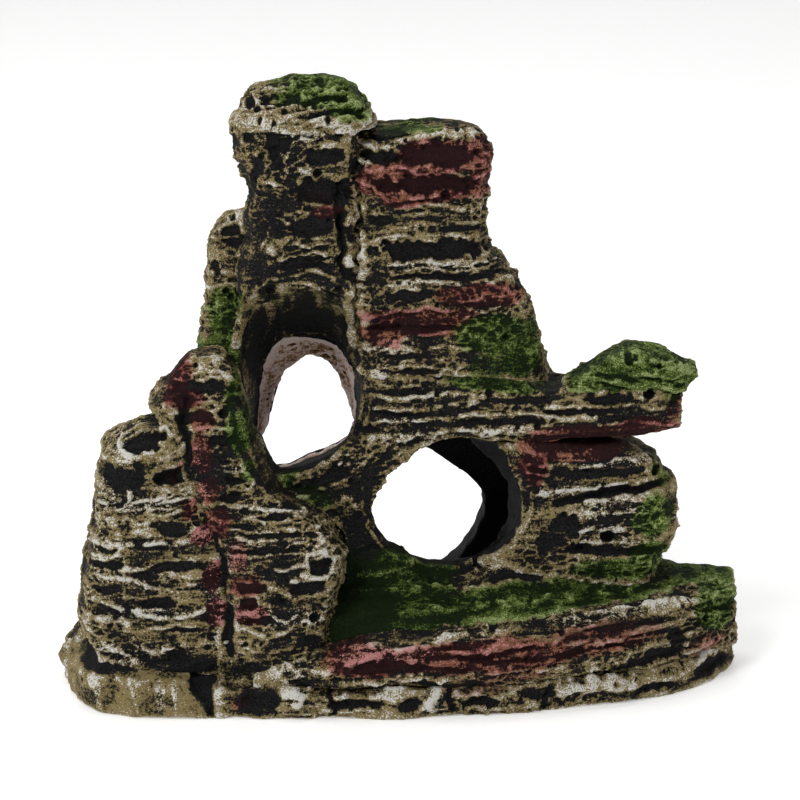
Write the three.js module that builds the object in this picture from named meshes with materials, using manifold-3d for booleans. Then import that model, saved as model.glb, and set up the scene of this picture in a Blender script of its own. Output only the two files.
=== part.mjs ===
// A resin cave ornament for an aquarium: a craggy outcrop of layered stones round two caves.
// Each stone is a casting of its own, bedded against its neighbours with a thin line of glue.
// Millimetres. +X is to the right, -Y is the front, +Z is up. The origin is on the table, under the
// middle of the outcrop.
import * as THREE from "three";
import { mergeVertices } from "three/addons/utils/BufferGeometryUtils.js";
import Module from "manifold-3d";

const wasm = await Module();
wasm.setup();

// Driving dimensions.
const GLUE_GAP = 0.4; // between a stone and the one that it is bedded against
const PLATE_TOP = 5; // the base plate's upper face
const FACE = -6; // front face of the tower
const CORE = 10; // the plane where the front stones meet the rear ones
const RIND = CORE + 0.45; // where the rear stones begin
const REAR = 26; // rear face, behind the caves
const TIDY = 0.1; // facets that differ by less than this are merged

// ---------------------------------------------------------------- shaping

// Slow waves that make a stone's face uneven, from about -1 to 1.
function waves(x, y, z) {
  return (
    0.5 * Math.sin(0.37 * x + 1.7 * Math.sin(0.19 * z) + 0.8) * Math.cos(0.31 * y - 0.4) +
    0.3 * Math.sin(0.71 * z + 0.23 * x) +
    0.2 * Math.cos(0.83 * x - 0.45 * y + 0.3 * z)
  );
}

// Layers of rock that stand out and fall back, from about -1 to 1.
function bedding(x, z) {
  const height = z + 0.05 * x + 0.8 * Math.sin(0.11 * x);
  return 0.6 * Math.sin((2 * Math.PI * height) / 6.4) + 0.4 * Math.sin((2 * Math.PI * height) / 10.7 + 1);
}

// The section at one place along a stone, from the two stations on either side of it.
function sectionAt(stations, place) {
  const next = stations.findIndex(([at]) => at >= place);
  if (next <= 0) return stations[next === 0 ? 0 : stations.length - 1].slice(1);
  const [before, after] = [stations[next - 1], stations[next]];
  const share = (place - before[0]) / (after[0] - before[0]);
  return before.slice(1).map((value, i) => value + share * (after[i + 1] - value));
}

// A point of the unit square moved to a rounded square. A higher `square` gives sharper corners.
function rounded(u, v, square) {
  const reach = Math.max(Math.abs(u), Math.abs(v));
  if (reach < 1e-9) return [0, 0];
  const norm = (Math.abs(u) ** square + Math.abs(v) ** square) ** (1 / square);
  return [(u * reach) / norm, (v * reach) / norm];
}

// A stone from stations along one axis. An upright stone ("z") has stations [z, left, right, front,
// back]. A lying one ("x") has [x, front, back, bottom, top, tilt], where tilt raises the rear of the
// top, in millimetres for each millimetre of depth. One from front to rear ("y") has [y, bottom, top,
// left, right]. Faces near the plane where front and rear stones meet stay flat.
function stone(along, stations, options = {}, grow = 0) {
  const { square = 5, lump = 0.7, across = [5, 4], step = 4.2 } = options;
  const first = stations[0][0];
  const last = stations.at(-1)[0];
  const layers = Math.max(2, Math.round((last - first) / step));
  const geometry = new THREE.BoxGeometry(2, 2, 2, across[0], across[1], layers);
  const positions = geometry.getAttribute("position");
  for (let i = 0; i < positions.count; i++) {
    const [u, v, w] = [positions.getX(i), positions.getY(i), positions.getZ(i)];
    const place = (first + last) / 2 + (w * (last - first)) / 2;
    const [uLow, uHigh, vLow, vHigh, tilt = 0] = sectionAt(stations, place);
    const [a, b] = rounded(u, v, square);
    const rim = Math.max(Math.abs(u), Math.abs(v)) > 0.999 ? 1 : 0;
    const end = Math.abs(w) > 0.999 ? Math.sign(w) : 0;
    const U = (uLow + uHigh) / 2 + (a * (uHigh - uLow)) / 2;
    const V = (vLow + vHigh) / 2 + (b * (vHigh - vLow)) / 2;
    const [x, y, z] = along === "z" ? [U, V, place] : along === "x" ? [place, U, V] : [V, place, U];
    const flat = along !== "y" && Math.abs(y - CORE) < 1.2;
    const uneven = flat ? 0 : lump * (0.8 * waves(x, y, z) + 0.6 * bedding(x, z));
    const out = rim * (uneven + grow);
    const length = Math.hypot(a, b) || 1;
    const p = [U + (out * a) / length, V + (out * b) / length, place + end * (lump * waves(x, y, z) + grow)];
    if (along === "z") positions.setXYZ(i, p[0], p[1], p[2]);
    if (along === "x") positions.setXYZ(i, p[2], p[0], p[1] + (tilt * p[0] * (v + 1)) / 2);
    if (along === "y") positions.setXYZ(i, p[1], p[2], p[0]);
  }
  return solid(geometry);
}

// ---------------------------------------------------------------- solids

// A geometry as a solid that can be joined and cut.
function solid(geometry) {
  const bare = geometry.clone().deleteAttribute("normal").deleteAttribute("uv");
  const merged = mergeVertices(bare, 1e-4);
  return new wasm.Manifold(
    new wasm.Mesh({
      numProp: 3,
      vertProperties: merged.getAttribute("position").array,
      triVerts: new Uint32Array(merged.index.array),
    }),
  );
}

// The largest body of a solid: a cut can leave crumbs.
function largest(body) {
  return body.decompose().reduce((best, piece) => (piece.volume() > best.volume() ? piece : best));
}

// A solid back as a geometry with flat faces.
function geometryOf(body) {
  const { vertProperties, triVerts } = body.getMesh();
  const geometry = new THREE.BufferGeometry();
  geometry.setAttribute("position", new THREE.BufferAttribute(vertProperties, 3));
  geometry.setIndex(new THREE.BufferAttribute(triVerts, 1));
  const faceted = geometry.toNonIndexed();
  faceted.computeVertexNormals();
  return faceted;
}

const ABOVE_TABLE = solid(new THREE.BoxGeometry(200, 200, 200).translate(0, 0, 100));

// ---------------------------------------------------------------- the caves

function middleOf(curve) {
  const middle = new THREE.Vector3();
  for (let i = 0; i < 20; i++) middle.addScaledVector(curve.getPoint(i / 20), 1 / 20);
  return middle;
}

// A passage from front to rear. Each ring is [y, outline], and an outline goes clockwise from its top
// through twelve points [x, z].
function passage(rings) {
  const layers = rings.length - 1;
  const geometry = new THREE.CylinderGeometry(1, 1, layers, 20, layers);
  const curves = rings.map(([, outline]) => {
    const points = outline.map(([x, z]) => new THREE.Vector3(x, 0, z));
    return new THREE.CatmullRomCurve3(points, true);
  });
  const positions = geometry.getAttribute("position");
  for (let i = 0; i < positions.count; i++) {
    const [a, height, b] = [positions.getX(i), positions.getY(i), positions.getZ(i)];
    const ring = Math.round(height + layers / 2);
    const turn = (Math.atan2(a, b) / (2 * Math.PI) + 1) % 1;
    const p = Math.hypot(a, b) < 0.5 ? middleOf(curves[ring]) : curves[ring].getPoint(turn);
    positions.setXYZ(i, p.x, rings[ring][0], p.z);
  }
  return solid(geometry);
}

const shifted = (outline, right, up) => outline.map(([x, z]) => [x + right, z + up]);
const between = (one, other) => one.map(([x, z], i) => [(x + other[i][0]) / 2, (z + other[i][1]) / 2]);

// The upper cave: a tall arch in front that narrows to a window in the rear shell.
const UPPER_ARCH = [
  [-20, 78.5], [-12.3, 77.1], [-8.2, 70.5], [-6.8, 59], [-8.8, 49], [-14, 43.8],
  [-21, 41.3], [-26.5, 41], [-29, 48], [-31.2, 59.5], [-31.9, 69.5], [-28, 77.5],
];
const UPPER_WINDOW = [
  [-18.5, 59], [-14, 57.8], [-11.4, 53], [-9, 47.5], [-8.9, 42.3], [-12.8, 38.9],
  [-18.5, 36.7], [-24.7, 34], [-28.8, 36.8], [-26.4, 45], [-24.8, 51.5], [-22.2, 56.4],
];
const upperCave = passage([
  [-30, UPPER_ARCH],
  [-4, UPPER_ARCH],
  [6, shifted(between(UPPER_ARCH, UPPER_WINDOW), 0, 0.6)],
  [16, UPPER_WINDOW],
  [40, shifted(UPPER_WINDOW, 0, -2)],
]);

// The lower cave: a round mouth under the bridge, and a wider mouth lower down in the rear shell.
const LOWER_MOUTH = [
  [10.5, 49.2], [17.1, 48.4], [21.8, 43.2], [23.4, 36], [22.6, 29], [17, 24.6],
  [10, 23], [3, 23.7], [-3.4, 27.6], [-6, 34.6], [-2.4, 41.2], [4, 46.4],
];
const LOWER_REAR = [
  [-2, 42.6], [4.6, 40], [10.6, 36], [17.2, 29.4], [15.4, 21.4], [10.4, 14.5],
  [3, 10.5], [-7, 10.5], [-14, 15], [-17, 24], [-14, 34], [-8, 41],
];
const lowerPassage = passage([
  [-30, LOWER_MOUTH],
  [-4, LOWER_MOUTH],
  [18, LOWER_REAR],
  [40, LOWER_REAR],
]);

// The chamber between them, which reaches behind the right pier.
const chamber = stone(
  "z",
  [
    [PLATE_TOP + 2, -16, 36, 4, 18],
    [16, -18, 40, 3, 19],
    [34, -16, 40, 3, 19],
    [42, -12, 36, 4, 18],
    [46, -2, 30, 5, 17],
  ],
  { square: 4, lump: 0.4, across: [5, 2], step: 9 },
);
const lowerCave = lowerPassage.add(chamber);

// ---------------------------------------------------------------- the stones

// Each stone: its colour, how it is shaped, and the caves that pass through it. A stone gives way to
// those before it in the list.
const TAN = 0x8f8052;
const SLATE = 0x33322f;
const BRICK = 0x8a4c42;
const MOSS = 0x4f6b2c;
const RAW = 0x9a7660;

const PLATE_OUTLINE = [
  [-63.5, -13], [-59.5, -22], [-53, -27.6], [-34, -29.6], [-10, -30.2], [10, -29.2], [30, -25.2], [46, -20.2],
  [57, -11.8], [64, -2.5], [65, 7], [58, 19], [44, 27], [18, 30.6], [-20, 30.4], [-46, 26], [-60, 17],
  [-65, 3],
];

function basePlate(grow) {
  const points = PLATE_OUTLINE.map(([x, y]) => new THREE.Vector2(x, y));
  const outline = new THREE.Shape(new THREE.SplineCurve([...points, points[0]]).getPoints(40).slice(0, -1));
  const bevel = 0.8;
  const geometry = new THREE.ExtrudeGeometry(outline, {
    depth: PLATE_TOP - bevel,
    bevelThickness: bevel,
    bevelSize: bevel,
    bevelOffset: grow - bevel,
    bevelSegments: 1,
  });
  return solid(geometry.translate(0, 0, grow)).intersect(ABOVE_TABLE);
}

const upright = (stations, options) => (grow) => stone("z", stations, options, grow);
const lying = (stations, options) => (grow) => stone("x", stations, options, grow);

const STONES = {
  corner_footing: {
    colour: TAN,
    shape: (grow) =>
      stone(
        "x",
        [
          [-63.8, -15, -3, -5, 6],
          [-62, -21, 0, -5, 8.5],
          [-58.5, -26.5, 0, -5, 9.5],
          [-50, -30, 0, -5, 9],
          [-42, -30.6, 0, -5, 8],
          [-34.5, -30.4, -2, -5, 6.5],
        ],
        { square: 4, lump: 0.4, step: 3.6 },
        grow,
      ).intersect(ABOVE_TABLE),
  },
  outer_boulder: {
    colour: TAN,
    shape: upright([
      [4, -50, -34, -22, CORE],
      [8, -57, -32.4, -25.5, CORE],
      [16, -61, -31.6, -26, CORE],
      [24, -60.6, -32.2, -25, CORE],
      [31, -58.8, -33.2, -23.7, CORE],
      [37, -57.6, -36.8, -22.5, 8],
      [41, -57.2, -38.6, -21.8, 8],
      [46, -57.4, -40, -20.5, 5],
      [49.5, -54.2, -40.4, -18.5, 1],
      [52, -49.5, -41.4, -16, -3],
    ]),
  },
  inner_boulder: {
    colour: SLATE,
    shape: upright(
      [
        [5.2, -35, -15, -25.4, -2],
        [12, -35.5, -14, -26, -1],
        [18, -35, -13.2, -25.8, 0],
        [22, -35.5, -12.4, -25.4, 1],
        [26, -35.5, -10.6, -24.8, 1],
        [30, -36, -10.6, -24, 2],
        [34.2, -36.5, -13.8, -22.8, 3],
        [37, -38, -19.4, -21.8, 3],
        [40, -40, -23, -21, 3],
        [46, -42, -26.2, -19.5, 2],
        [52, -43.5, -28.6, -18, 1],
        [56, -47.6, -29.5, -17, 0],
        [60, -45, -30.6, -15.5, -1],
        [63, -41.8, -31.6, -14.5, -2],
        [65.4, -39, -34, -13, -5],
      ],
      { step: 3 },
    ),
  },
  far_left_rock: {
    colour: SLATE,
    shape: upright(
      [
        [0.8, -64.4, -48, -11, CORE],
        [2.5, -67, -48, -12, CORE],
        [6, -64.6, -48, -11, CORE],
        [10, -62.4, -48, -10, CORE],
        [14, -59.5, -48, -8, CORE],
        [19, -57, -48, -5, CORE],
      ],
      { across: [3, 4], step: 3.6 },
    ),
  },
  base_plate: { colour: TAN, shape: basePlate },
  front_ledge: {
    colour: BRICK,
    shape: lying([
      [-27, -28, -14, 5.3, 7.5],
      [-20, -29.3, -11, 5.3, 9.5],
      [-13, -30, -9, 5.3, 12],
      [-4, -30.2, -7, 5.3, 14.3],
      [6, -29.7, -6, 5.3, 15.2],
      [18, -28, -5, 5.3, 16],
      [30, -24.8, -4, 5.3, 16.6],
      [42, -21, 0, 5.3, 17],
      [53, -14.8, 4, 5.3, 17.2],
      [60, -8.6, 8, 5.3, 17],
      [65.2, -3, 9, 5.3, 15.5],
    ]),
  },
  mossy_terrace: {
    colour: MOSS,
    shape: lying(
      [
        [-17, -20, CORE, 4, 24, 0.35],
        [-8, -25, CORE, 4, 26.5, 0.42],
        [4, -27, CORE, 4, 27, 0.44],
        [16, -25.5, CORE, 4, 26.2, 0.42],
        [28, -22.5, CORE, 4, 24.2, 0.35],
        [40, -18.5, CORE, 4, 21.4, 0.25],
        [52, -13, CORE, 4, 18.2, 0.16],
        [61, -7.5, CORE, 4, 17, 0.12],
        [65, -2, CORE, 4, 16.3, 0.12],
      ],
      { across: [6, 3], step: 5 },
    ),
    caves: [lowerCave],
  },
  right_pier: {
    colour: SLATE,
    shape: upright([
      [16, 12, 48, -7, CORE],
      [22.5, 13, 49, -9, CORE],
      [26.5, 14, 52, -9.5, CORE],
      [31, 14, 53.9, -9.5, CORE],
      [37, 14, 52.9, -9, CORE],
      [41, 14, 51.2, -8.5, CORE],
      [44.5, 14, 47.6, -8.5, CORE],
      [47, 14, 42.5, -8, CORE],
    ]),
    caves: [lowerCave],
  },
  bridge_slab: {
    colour: SLATE,
    shape: lying([
      [-8.6, -5.5, CORE, 41, 60.5],
      [0, -7.5, CORE, 44, 61],
      [10, -8.8, CORE, 46, 60.5],
      [20, -9.4, CORE, 47.5, 59.6],
      [30, -9.4, CORE, 47.6, 57],
      [40, -9, CORE, 47.8, 57.8],
      [48, -8.5, CORE, 48.9, 58.6],
      [53.4, -7, CORE, 49.8, 58.6],
    ]),
    caves: [lowerCave, upperCave],
  },
  bridge_knob: {
    colour: MOSS,
    shape: lying(
      [
        [31.5, -6, 3, 56.4, 57.6],
        [37, -8, 6, 57, 61.8],
        [43, -8.5, 8, 57, 64.4],
        [50, -8.5, 8, 57, 63.6],
        [54, -7.5, 7, 57.6, 61.4],
        [57, -5, 4, 58.8, 60.6],
      ],
      { step: 3.4, across: [5, 3] },
    ),
  },
  saddle_rock: {
    colour: TAN,
    shape: upright([
      [PLATE_TOP + 0.4, -34, 5, -7, CORE],
      [14, -34, 5, -9, CORE],
      [22, -34, 4, -11, CORE],
      [30, -34, 3, -11, CORE],
      [38, -33, 4, -10.5, CORE],
      [43, -30, 4, -9.5, CORE],
      [48, -28, 0, -8, CORE],
    ]),
    caves: [lowerCave, upperCave],
  },
  left_shoulder: {
    colour: TAN,
    shape: upright(
      [
        [36, -46, -24, -4, CORE],
        [46, -43, -24, -3, CORE],
        [55, -41, -24, -2, CORE],
        [61, -39.5, -24, -1, CORE],
        [70, -37.6, -24, 0, CORE],
        [76, -37, -25, 0.5, CORE],
        [82, -36.7, -26, 1, CORE],
        [87, -35.5, -27, 2, CORE],
        [89.5, -32.5, -28, 4, CORE],
      ],
      { across: [4, 4] },
    ),
    caves: [upperCave],
  },
  tower_left_column: {
    colour: SLATE,
    shape: upright([
      [58, -31, -8.6, -4, CORE],
      [72, -31, -8.6, FACE, CORE],
      [80, -30.5, -8.6, FACE - 1, CORE],
      [87, -28.8, -8.6, FACE - 1, CORE],
      [94, -28.8, -8.6, FACE - 1.5, CORE],
      [100, -29.4, -8.6, FACE - 2, CORE],
      [105, -32, -8.4, FACE - 2.5, CORE],
      [108.4, -31.4, -8, FACE - 2, CORE],
    ]),
    caves: [upperCave],
  },
  tower_right_column: {
    colour: BRICK,
    shape: upright([
      [56, -8.6, 28.2, FACE, CORE],
      [62, -8.6, 28, FACE, CORE],
      [66.5, -8.6, 26.3, FACE, CORE],
      [71, -8.6, 26, FACE, CORE],
      [75.5, -8.6, 23.8, FACE, CORE],
      [80.8, -8.4, 19.4, FACE, CORE],
      [83.5, -8.2, 16, FACE, CORE],
      [88, -8, 15.8, FACE, CORE],
      [99, -8, 16.7, FACE - 0.5, CORE],
      [103, -7.8, 17.4, FACE - 0.5, CORE],
      [105.8, -7.5, 17.3, FACE, CORE],
      [106.8, -6.6, 14, FACE + 2, CORE - 1],
    ]),
    caves: [upperCave],
  },
  tower_cap: {
    colour: MOSS,
    shape: upright(
      [
        [107.8, -30.8, -5, FACE - 2.5, CORE],
        [110.3, -30.4, -5.6, FACE - 2, 10.5],
        [112.6, -29.6, -7, FACE + 1.5, 10.5],
        [114.4, -27.2, -8.8, FACE + 5, 9.5],
        [115.9, -20.6, -11.5, FACE + 8, 8],
      ],
      { step: 2.1, square: 4 },
    ),
  },
  rear_window_rim: {
    colour: RAW,
    shape: (grow) =>
      stone(
        "y",
        [
          [RIND, 30.5, 64, -31.4, -5.8],
          [17, 31, 63.6, -31, -6.2],
          [22, 33, 62, -29.6, -7.4],
        ],
        { square: 2.6, lump: 0.5, across: [6, 6], step: 4 },
        grow,
      ),
    caves: [upperCave],
  },
  rear_tower_rock: {
    colour: RAW,
    shape: upright([
      [70, -35.5, 24, RIND, REAR - 1.5],
      [78, -34, 19.6, RIND, REAR - 2.5],
      [85, -30, 14.6, RIND, REAR - 4],
      [96, -27.5, 14, RIND, REAR - 6],
      [104, -25, 10, RIND, REAR - 9],
    ]),
    caves: [upperCave],
  },
  rear_shell: {
    colour: RAW,
    shape: upright(
      [
        [PLATE_TOP + 0.4, -57, 56, RIND, 27],
        [13, -57, 54, RIND, REAR + 1.5],
        [22, -54, 50, RIND, REAR + 1],
        [35, -50, 48, RIND, REAR],
        [44, -46, 44, RIND, REAR],
        [51, -42, 36, RIND, REAR - 1],
        [58, -38.5, 27, RIND, REAR - 1],
        [64, -37, 25, RIND, REAR - 1],
        [69.6, -36, 24, RIND, REAR - 1.5],
      ],
      { across: [10, 2], step: 5.4 },
    ),
    caves: [lowerCave, upperCave],
  },
};

// ---------------------------------------------------------------- bedding them together

const ornament = new THREE.Group();
const placed = [];
for (const [name, { colour, shape, caves = [] }] of Object.entries(STONES)) {
  let body = shape(0);
  for (const neighbour of placed) body = body.subtract(neighbour);
  for (const cave of caves) body = body.subtract(cave);
  placed.push(shape(GLUE_GAP));
  const material = new THREE.MeshStandardMaterial({ color: colour, roughness: 0.75, metalness: 0 });
  const mesh = new THREE.Mesh(geometryOf(largest(body.simplify(TIDY))), material);
  mesh.name = name;
  ornament.add(mesh);
}

export default ornament;
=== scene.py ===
import math

import bpy
import numpy as np
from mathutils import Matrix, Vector
from mathutils.bvhtree import BVHTree


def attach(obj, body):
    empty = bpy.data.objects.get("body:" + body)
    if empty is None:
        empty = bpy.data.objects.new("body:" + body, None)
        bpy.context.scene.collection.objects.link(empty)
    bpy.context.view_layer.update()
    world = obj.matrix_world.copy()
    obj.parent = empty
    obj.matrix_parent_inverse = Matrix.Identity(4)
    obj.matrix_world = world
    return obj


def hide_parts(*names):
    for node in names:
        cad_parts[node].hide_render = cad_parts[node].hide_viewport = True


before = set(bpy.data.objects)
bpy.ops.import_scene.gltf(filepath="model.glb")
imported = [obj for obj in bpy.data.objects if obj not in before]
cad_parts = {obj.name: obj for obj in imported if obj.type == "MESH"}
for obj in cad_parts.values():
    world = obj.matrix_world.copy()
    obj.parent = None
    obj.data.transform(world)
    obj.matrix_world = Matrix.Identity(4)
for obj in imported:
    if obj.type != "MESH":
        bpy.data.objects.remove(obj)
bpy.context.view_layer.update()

# ---------------------------------------------------------------- table, backdrop, camera and lights
# A white sweep that the ornament stands on, lit by one large soft light over the front, weaker ones
# at the sides and one overhead. The camera looks down on it by 15 degrees.

sweep_profile = [(-1.2, 0.0), (0.9, 0.0), (1.25, 0.06), (1.5, 0.3), (1.6, 0.7), (1.6, 2.2)]
below_stone = 0.0001
sweep_points = [(x, y, z - below_stone) for y, z in sweep_profile for x in (-3.0, 3.0)]
sweep_faces = [(i, i + 1, i + 3, i + 2) for i in range(0, 2 * len(sweep_profile) - 2, 2)]
sweep_mesh = bpy.data.meshes.new("sweep")
sweep_mesh.from_pydata(sweep_points, [], sweep_faces)
sweep = bpy.data.objects.new("sweep", sweep_mesh)
bpy.context.scene.collection.objects.link(sweep)
for face in sweep_mesh.polygons:
    face.use_smooth = True
sweep_paint = bpy.data.materials.new("sweep_paint")
sweep_paint.use_nodes = True
sweep_shader = sweep_paint.node_tree.nodes["Principled BSDF"]
sweep_shader.inputs["Base Color"].default_value = (0.93, 0.93, 0.925, 1)
sweep_shader.inputs["Roughness"].default_value = 0.8
sweep_shader.inputs["Emission Color"].default_value = (1, 1, 1, 1)
sweep_shader.inputs["Emission Strength"].default_value = 0.3
sweep_shader.inputs["Specular IOR Level"].default_value = 0.1
sweep_mesh.materials.append(sweep_paint)

camera_data = bpy.data.cameras.new("camera")
camera_data.lens = 151.9
camera_data.sensor_width = 36
camera = bpy.data.objects.new("camera", camera_data)
bpy.context.scene.collection.objects.link(camera)
camera.location = (0, -0.6279, 0.2222)
look_down = math.radians(15)
camera.rotation_euler = (math.radians(90) - look_down, 0, 0)
bpy.context.scene.camera = camera

aim_point = Vector((0, 0, 0.05))
for light_name, place, size, power in [
    ("front_softbox", (-0.5, -0.7, 0.9), 0.42, 6.4),
    ("right_softbox", (0.95, -0.5, 0.45), 0.5, 1.6),
    ("left_softbox", (-0.95, -0.1, 0.6), 0.5, 2.2),
    ("top_softbox", (0.0, 0.3, 1.1), 0.7, 5.0),
]:
    light_data = bpy.data.lights.new(light_name, "AREA")
    light_data.size = size
    light_data.energy = power
    light = bpy.data.objects.new(light_name, light_data)
    bpy.context.scene.collection.objects.link(light)
    light.location = place
    light.rotation_euler = (aim_point - Vector(place)).to_track_quat("-Z", "Y").to_euler()

world = bpy.data.worlds.new("studio")
world.use_nodes = True
world.node_tree.nodes["Background"].inputs["Color"].default_value = (1, 1, 1, 1)
world.node_tree.nodes["Background"].inputs["Strength"].default_value = 0.16
bpy.context.scene.world = world
bpy.context.scene.view_settings.view_transform = "Standard"

# ---------------------------------------------------------------- base plate
# The flat foot that everything is bedded on: a cast slab of stone-filled resin with a broken edge.
# Like every stone here it is poured in a mould, painted charcoal, then drybrushed and washed.

CHANCE = np.random.default_rng(11).uniform(-1, 1, 65536)


def swells(points, size, seed):
    """Smooth random swells from -1 to 1, about size millimetres across."""
    size = np.asarray(size, float)
    spot = points / size + seed * 17.31
    cell = np.floor(spot)
    t = spot - cell
    t = t * t * t * (t * (6 * t - 15) + 10)
    cell = cell.astype(np.int64)
    total = np.zeros(len(points))
    for corner in range(8):
        step = np.array([corner & 1, corner >> 1 & 1, corner >> 2 & 1])
        at = cell + step
        key = (at[:, 0] * 73856093) ^ (at[:, 1] * 19349663) ^ (at[:, 2] * 83492791)
        weight = np.prod(np.where(step == 1, t, 1 - t), axis=1)
        total += weight * CHANCE[(key ^ key >> 13) & 65535]
    return total


def rough(points, size, seed, octaves=3):
    """Swells on swells: each finer and half as strong."""
    total = 0
    for i in range(octaves):
        total = total + swells(points, size / 2**i, seed + 3 * i) / 2**i
    return total / 1.6


def ramp(value, low, high):
    """0 below low, 1 above high, and smooth between."""
    t = np.clip((value - low) / (high - low), 0, 1)
    return t * t * (3 - 2 * t)


def distance_to_line(x, z, line):
    """How far each point is from a line of points (x, z)."""
    nearest = np.full(len(x), 1e9)
    for (x0, z0), (x1, z1) in zip(line, line[1:]):
        along = np.array([x1 - x0, z1 - z0])
        t = np.clip(((x - x0) * along[0] + (z - z0) * along[1]) / (along @ along), 0, 1)
        nearest = np.minimum(nearest, np.hypot(x - x0 - t * along[0], z - z0 - t * along[1]))
    return nearest


def spots(x, z, places):
    """How strongly each point lies in soft oval spots (x, z, half width, half height, strength)."""
    total = np.zeros(len(x))
    for cx, cz, rx, rz, strength in places:
        total = np.maximum(total, strength * ramp(-np.hypot((x - cx) / rx, (z - cz) / rz), -1.25, -0.6))
    return total


def averaged(values, edges, count, times):
    """Values after each vertex has taken its neighbours' mean, that many times."""
    degree = np.bincount(edges[:, 0], minlength=count) + np.bincount(edges[:, 1], minlength=count)
    degree = np.maximum(degree, 1)
    columns = []
    for column in values.T:
        for _ in range(times):
            total = np.bincount(edges[:, 0], column[edges[:, 1]], count)
            total += np.bincount(edges[:, 1], column[edges[:, 0]], count)
            column = 0.5 * column + 0.5 * total / degree
        columns.append(column)
    return np.array(columns).T


def bubbles(points, apart, seed):
    """Small round holes that air left in the mould: 1 in a hole, and 0 elsewhere."""
    cell = np.floor(points / apart).astype(np.int64)
    key = (cell[:, 0] * 73856093) ^ (cell[:, 1] * 19349663) ^ (cell[:, 2] * 83492791) ^ (seed * 2654435)
    draws = [CHANCE[(key + 977 * i ^ key >> 11) & 65535] for i in range(5)]
    middle = (cell + 0.5 + 0.3 * np.array(draws[:3]).T) * apart
    radius = np.where(draws[3] > 0.1, 0.36 + 0.16 * draws[4], 0.01)
    return ramp(-np.linalg.norm(points - middle, axis=1) / radius, -1.3, -0.7)


def honeycomb(points, size, seed):
    """Small flattened cells where the resin foamed: 1 on the thin walls between them, 0 inside."""
    drift = np.array([swells(points, 2.2, seed + i) for i in range(3)]).T
    spot = points / size + seed * 3.7 + 0.35 * drift
    cell = np.floor(spot).astype(np.int64)
    first = np.full(len(points), 9.0)
    second = np.full(len(points), 9.0)
    for corner in range(27):
        at = cell + np.array([corner % 3 - 1, corner // 3 % 3 - 1, corner // 9 - 1])
        key = (at[:, 0] * 73856093) ^ (at[:, 1] * 19349663) ^ (at[:, 2] * 83492791)
        draws = np.array([CHANCE[(key + 977 * i ^ key >> 11) & 65535] for i in range(3)])
        middle = at + 0.5 + 0.42 * draws.T
        gap = np.linalg.norm(spot - middle, axis=1)
        second = np.minimum(second, np.maximum(first, gap))
        first = np.minimum(first, gap)
    return ramp(first - second, -0.3, -0.02)


def nearest_stone(node, points):
    """Each point's distance to the nearest other stone, up to 4 millimetres."""
    corners, faces = [], []
    for name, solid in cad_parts.items():
        if name != node:
            faces += [[len(corners) + i for i in face.vertices] for face in solid.data.polygons]
            corners += [vertex.co * 1000 for vertex in solid.data.vertices]
    tree = BVHTree.FromPolygons(corners, faces)
    found = (tree.find_nearest(point, 4.0)[3] for point in points.tolist())
    return np.array([4.0 if gap is None else gap for gap in found])


def vectors(collection, name, count):
    """A mesh's positions or normals as rows of three."""
    flat = np.empty(count * 3, np.float32)
    collection.foreach_get(name, flat)
    return flat.reshape(-1, 3).astype(float)


def layered(points, seed, pitch, lean, sag):
    """Beds of slate: long flat plates that stand out or fall back, with a lip round each."""
    x, y, z = points.T
    height = z - lean * x + sag * np.sin(x / 9 + seed) + 1.1 * swells(points, 13, seed)
    height = height + 0.3 * swells(points, 3.4, seed + 2)
    spot = np.c_[x / 12, y / 12, height / pitch]
    plate = swells(spot, 1, seed + 3) + 0.5 * swells(spot, 0.47, seed + 4)
    lip = np.exp(-(((plate - 0.12) / 0.13) ** 2)) * (0.75 + 0.6 * swells(points, 5, seed + 5))
    return 0.42 * np.tanh(3.2 * plate) + 0.5 * np.clip(lip, 0, 2)


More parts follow.
